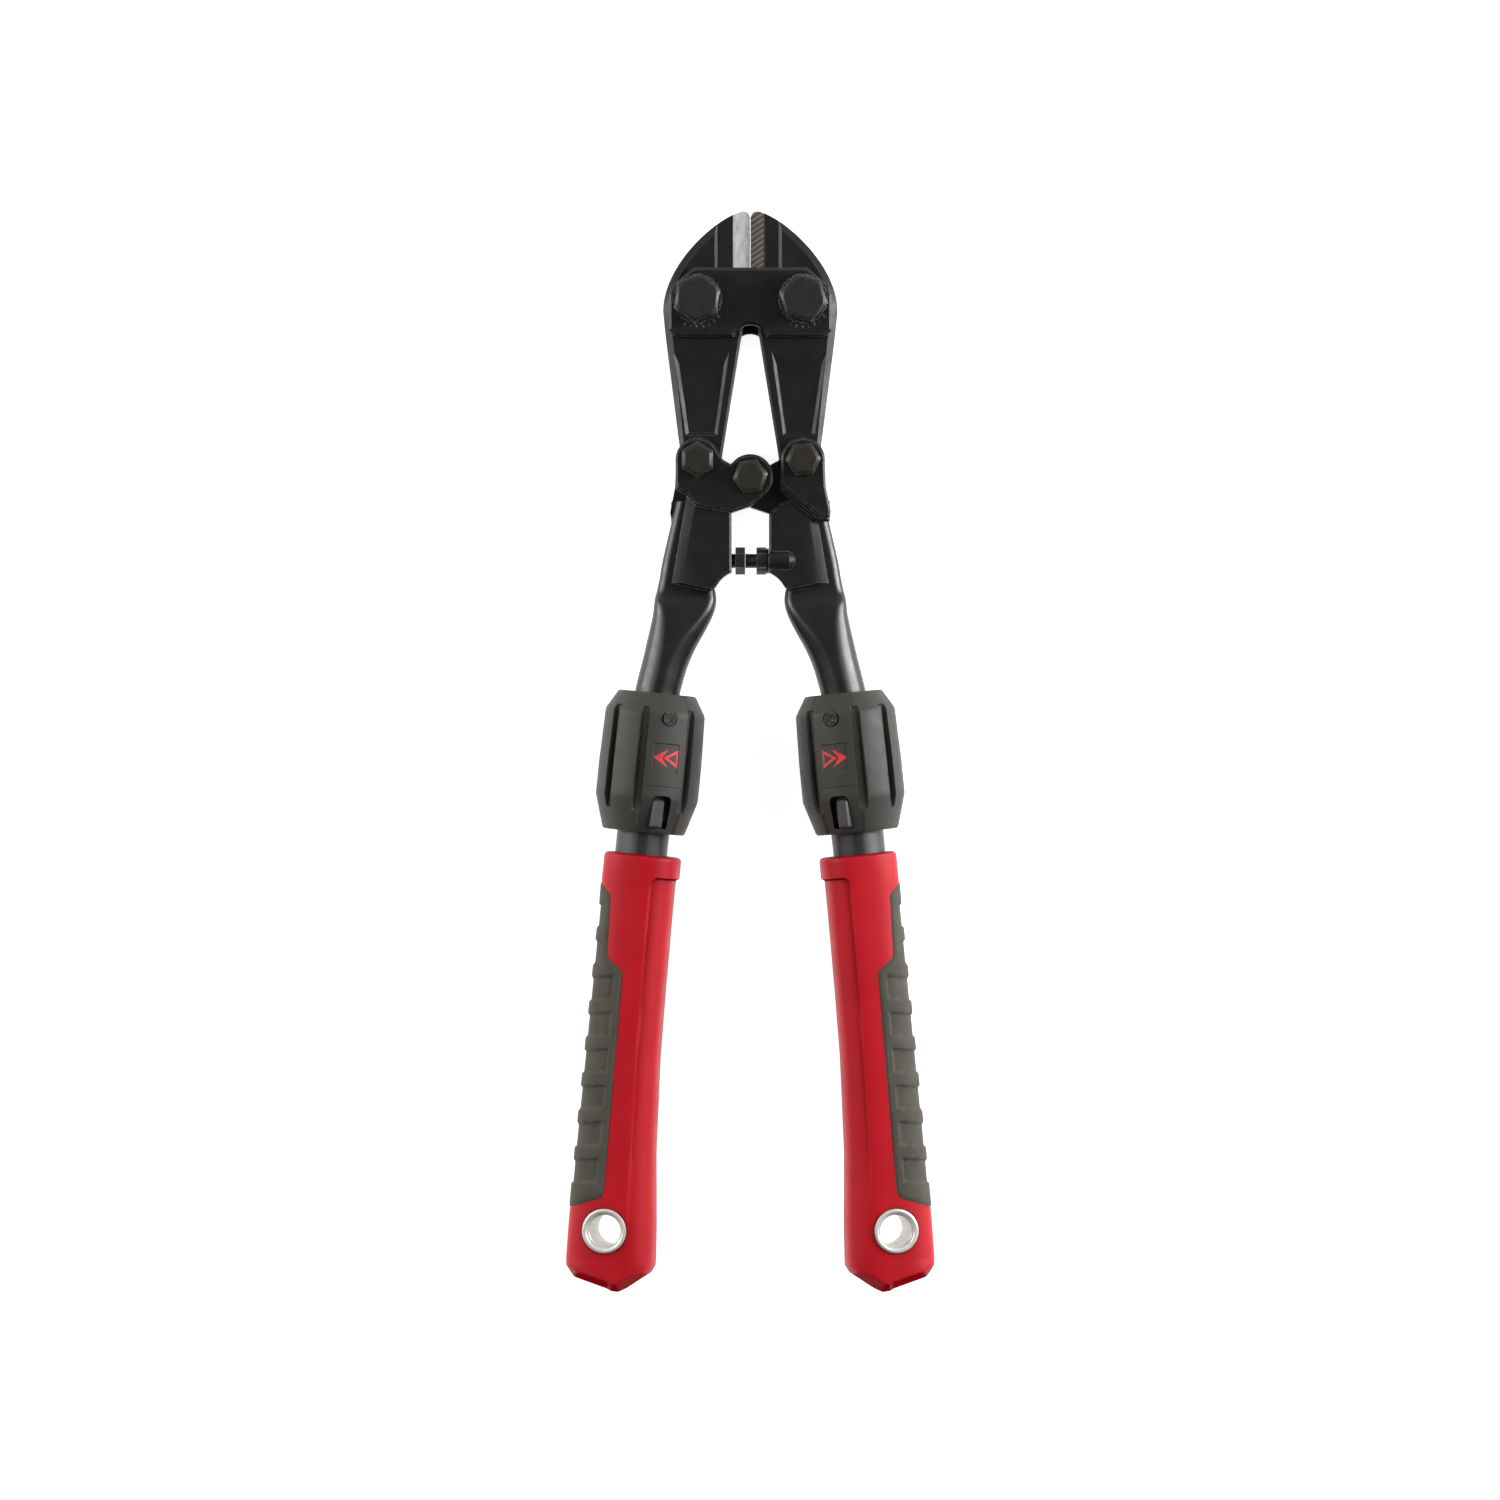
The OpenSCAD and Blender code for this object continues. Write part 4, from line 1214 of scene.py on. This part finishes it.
def make_grip(side):
    name = side + "_grip"
    obj = mesh_object(name + "_body", *loft([grip_surface(s, -0.03) for s in grip_places()]), ROLLED)
    pocket = rubber_prism(0)
    cut(pocket, grip_core(0.5 - rubber_t))
    cut(obj, pocket, rod(11.1, 50, 217, HANDLE), rod(ring_tube_r, -30, 30, ring_place))
    to_side(obj, side)
    shade(obj, 30)
    finish_piece(obj, "red_plastic", side + "_handle", "grip_plastic", name)


def make_rubber(side):
    name = side + "_grip_rubber"
    gap, under = 0.1, 0.05
    line = inset(rubber_line, gap)
    rings = [grip_surface(s, 0.3, rubber_dips(line)) for s in spread(79, 223.5, 0.85) + [223.5]]
    obj = mesh_object(name + "_body", *loft(rings), ROLLED)
    combine(obj, [rubber_prism(gap)], "INTERSECT")
    cut(obj, grip_core(0.5 - rubber_t + under))
    to_side(obj, side)
    shade(obj, 30)
    finish_piece(obj, "grip_rubber", side + "_handle", "grip_rubber", name)


def make_ring(side):
    """The lanyard ring: a tube with rolled rims and a small step inside each mouth."""
    name = side + "_lanyard_ring"
    bore, rim, half = ring_bore_r, 9.4, ring_half
    front = [(bore, half - 2.6), (bore + 0.25, half - 2.4), (bore + 0.3, half - 1.2),
             (bore + 0.9, half - 0.35), (bore + 1.5, half - 0.02), (rim - 0.7, half - 0.02),
             (rim - 0.15, half - 0.3), (rim, half - 0.7), (rim - 0.1, half - 1), (ring_tube_r, half - 1)]
    back = [(r, -z) for r, z in reversed(front)]
    obj = mesh_object(name + "_body", *lathe(front + back, 96), on_side(ring_place, side), 40)
    finish_piece(obj, "machined_aluminium", side + "_handle", "ring_aluminium", name)


ring_tube_r = 8.0
ring_local = ROLLED.inverted() @ ring_at
ring_place = turned(moved(ROLLED, ring_local.x, 0, ring_local.z), math.pi / 2, "X")
for side in (LEFT, RIGHT):
    make_grip(side)
    make_rubber(side)
    make_ring(side)


# ---- floor, lights and camera


def area_light(name, place, size, power, color):
    """A rectangular light that faces the middle of the tool."""
    target = (0, 0, 0.02)
    data = bpy.data.lights.new(name, "AREA")
    data.shape = "RECTANGLE"
    data.size, data.size_y = size
    data.energy = power
    data.color = color
    obj = add_object(name, data)
    obj.location = place
    obj.rotation_euler = (Vector(target) - Vector(place)).to_track_quat("-Z", "Y").to_euler()


def studio():
    """A pale floor, a soft sky, and two lights on each side."""
    floor_look = Look("pale_floor", (0.8, 0.8, 0.8, 1), 0.6, specular=0.1)
    floor_look.mottle((0.79, 0.79, 0.79, 1), 300.0)
    set_inputs(floor_look.shader, Emission_Color=(1, 1, 1, 1), Emission_Strength=0.8)
    floor_half, floor_z = 9000, -0.2
    corners = [(x * floor_half, y * floor_half, floor_z) for x, y in ((-1, -1), (1, -1), (1, 1), (-1, 1))]
    floor = mesh_object("floor", corners, [(0, 1, 2, 3)], FLAT)
    floor.data.materials.append(floor_look.material)
    world = bpy.data.worlds.new("studio")
    world.use_nodes = True
    nodes, links = world.node_tree.nodes, world.node_tree.links
    coords = nodes.new("ShaderNodeTexCoord")
    split = nodes.new("ShaderNodeSeparateXYZ")
    links.new(coords.outputs["Generated"], split.inputs["Vector"])
    strength = nodes.new("ShaderNodeMath")
    strength.operation = "MULTIPLY"
    # The sky dims towards the zenith and towards the butts
    fades = (("Z", 0.1, 0.9, 1.0, 0.24), ("Y", -0.7, 0.1, 0.08, 1.0))
    for i, (axis, start, end, near, far) in enumerate(fades):
        fade = nodes.new("ShaderNodeMapRange")
        set_inputs(fade, From_Min=start, From_Max=end, To_Min=near, To_Max=far)
        links.new(split.outputs[axis], fade.inputs["Value"])
        links.new(fade.outputs["Result"], strength.inputs[i])
    links.new(strength.outputs["Value"], nodes["Background"].inputs["Strength"])
    set_inputs(nodes["Background"], Color=(1, 1, 1, 1))
    bpy.context.scene.world = world
    area_light("left_softbox", (-1.0, 0.25, 0.62), (0.5, 1.6), 5, (1.0, 0.97, 0.93))
    area_light("right_softbox", (1.0, 0.25, 0.62), (0.5, 1.6), 7.5, (0.97, 0.99, 1.0))
    area_light("left_strip", (-1.1, 0.3, 0.2), (0.16, 1.5), 7, (1.0, 0.98, 0.95))
    area_light("right_strip", (1.1, 0.3, 0.2), (0.16, 1.5), 19, (0.96, 0.99, 1.0))


def camera():
    """Looks straight down on the tool; view_w is the width in view at the tool's mid height."""
    view_w = 635.4
    lens, sensor = 150, 36
    aim_x, aim_y = -0.13, 0.42
    data = bpy.data.cameras.new("camera")
    data.lens = lens
    data.sensor_width = sensor
    data.clip_end = 20
    obj = add_object("camera", data)
    obj.location = (aim_x * MM, aim_y * MM, (mid_z + view_w * lens / sensor) * MM)
    bpy.context.scene.camera = obj
    bpy.context.scene.view_settings.view_transform = "Standard"


studio()
camera()
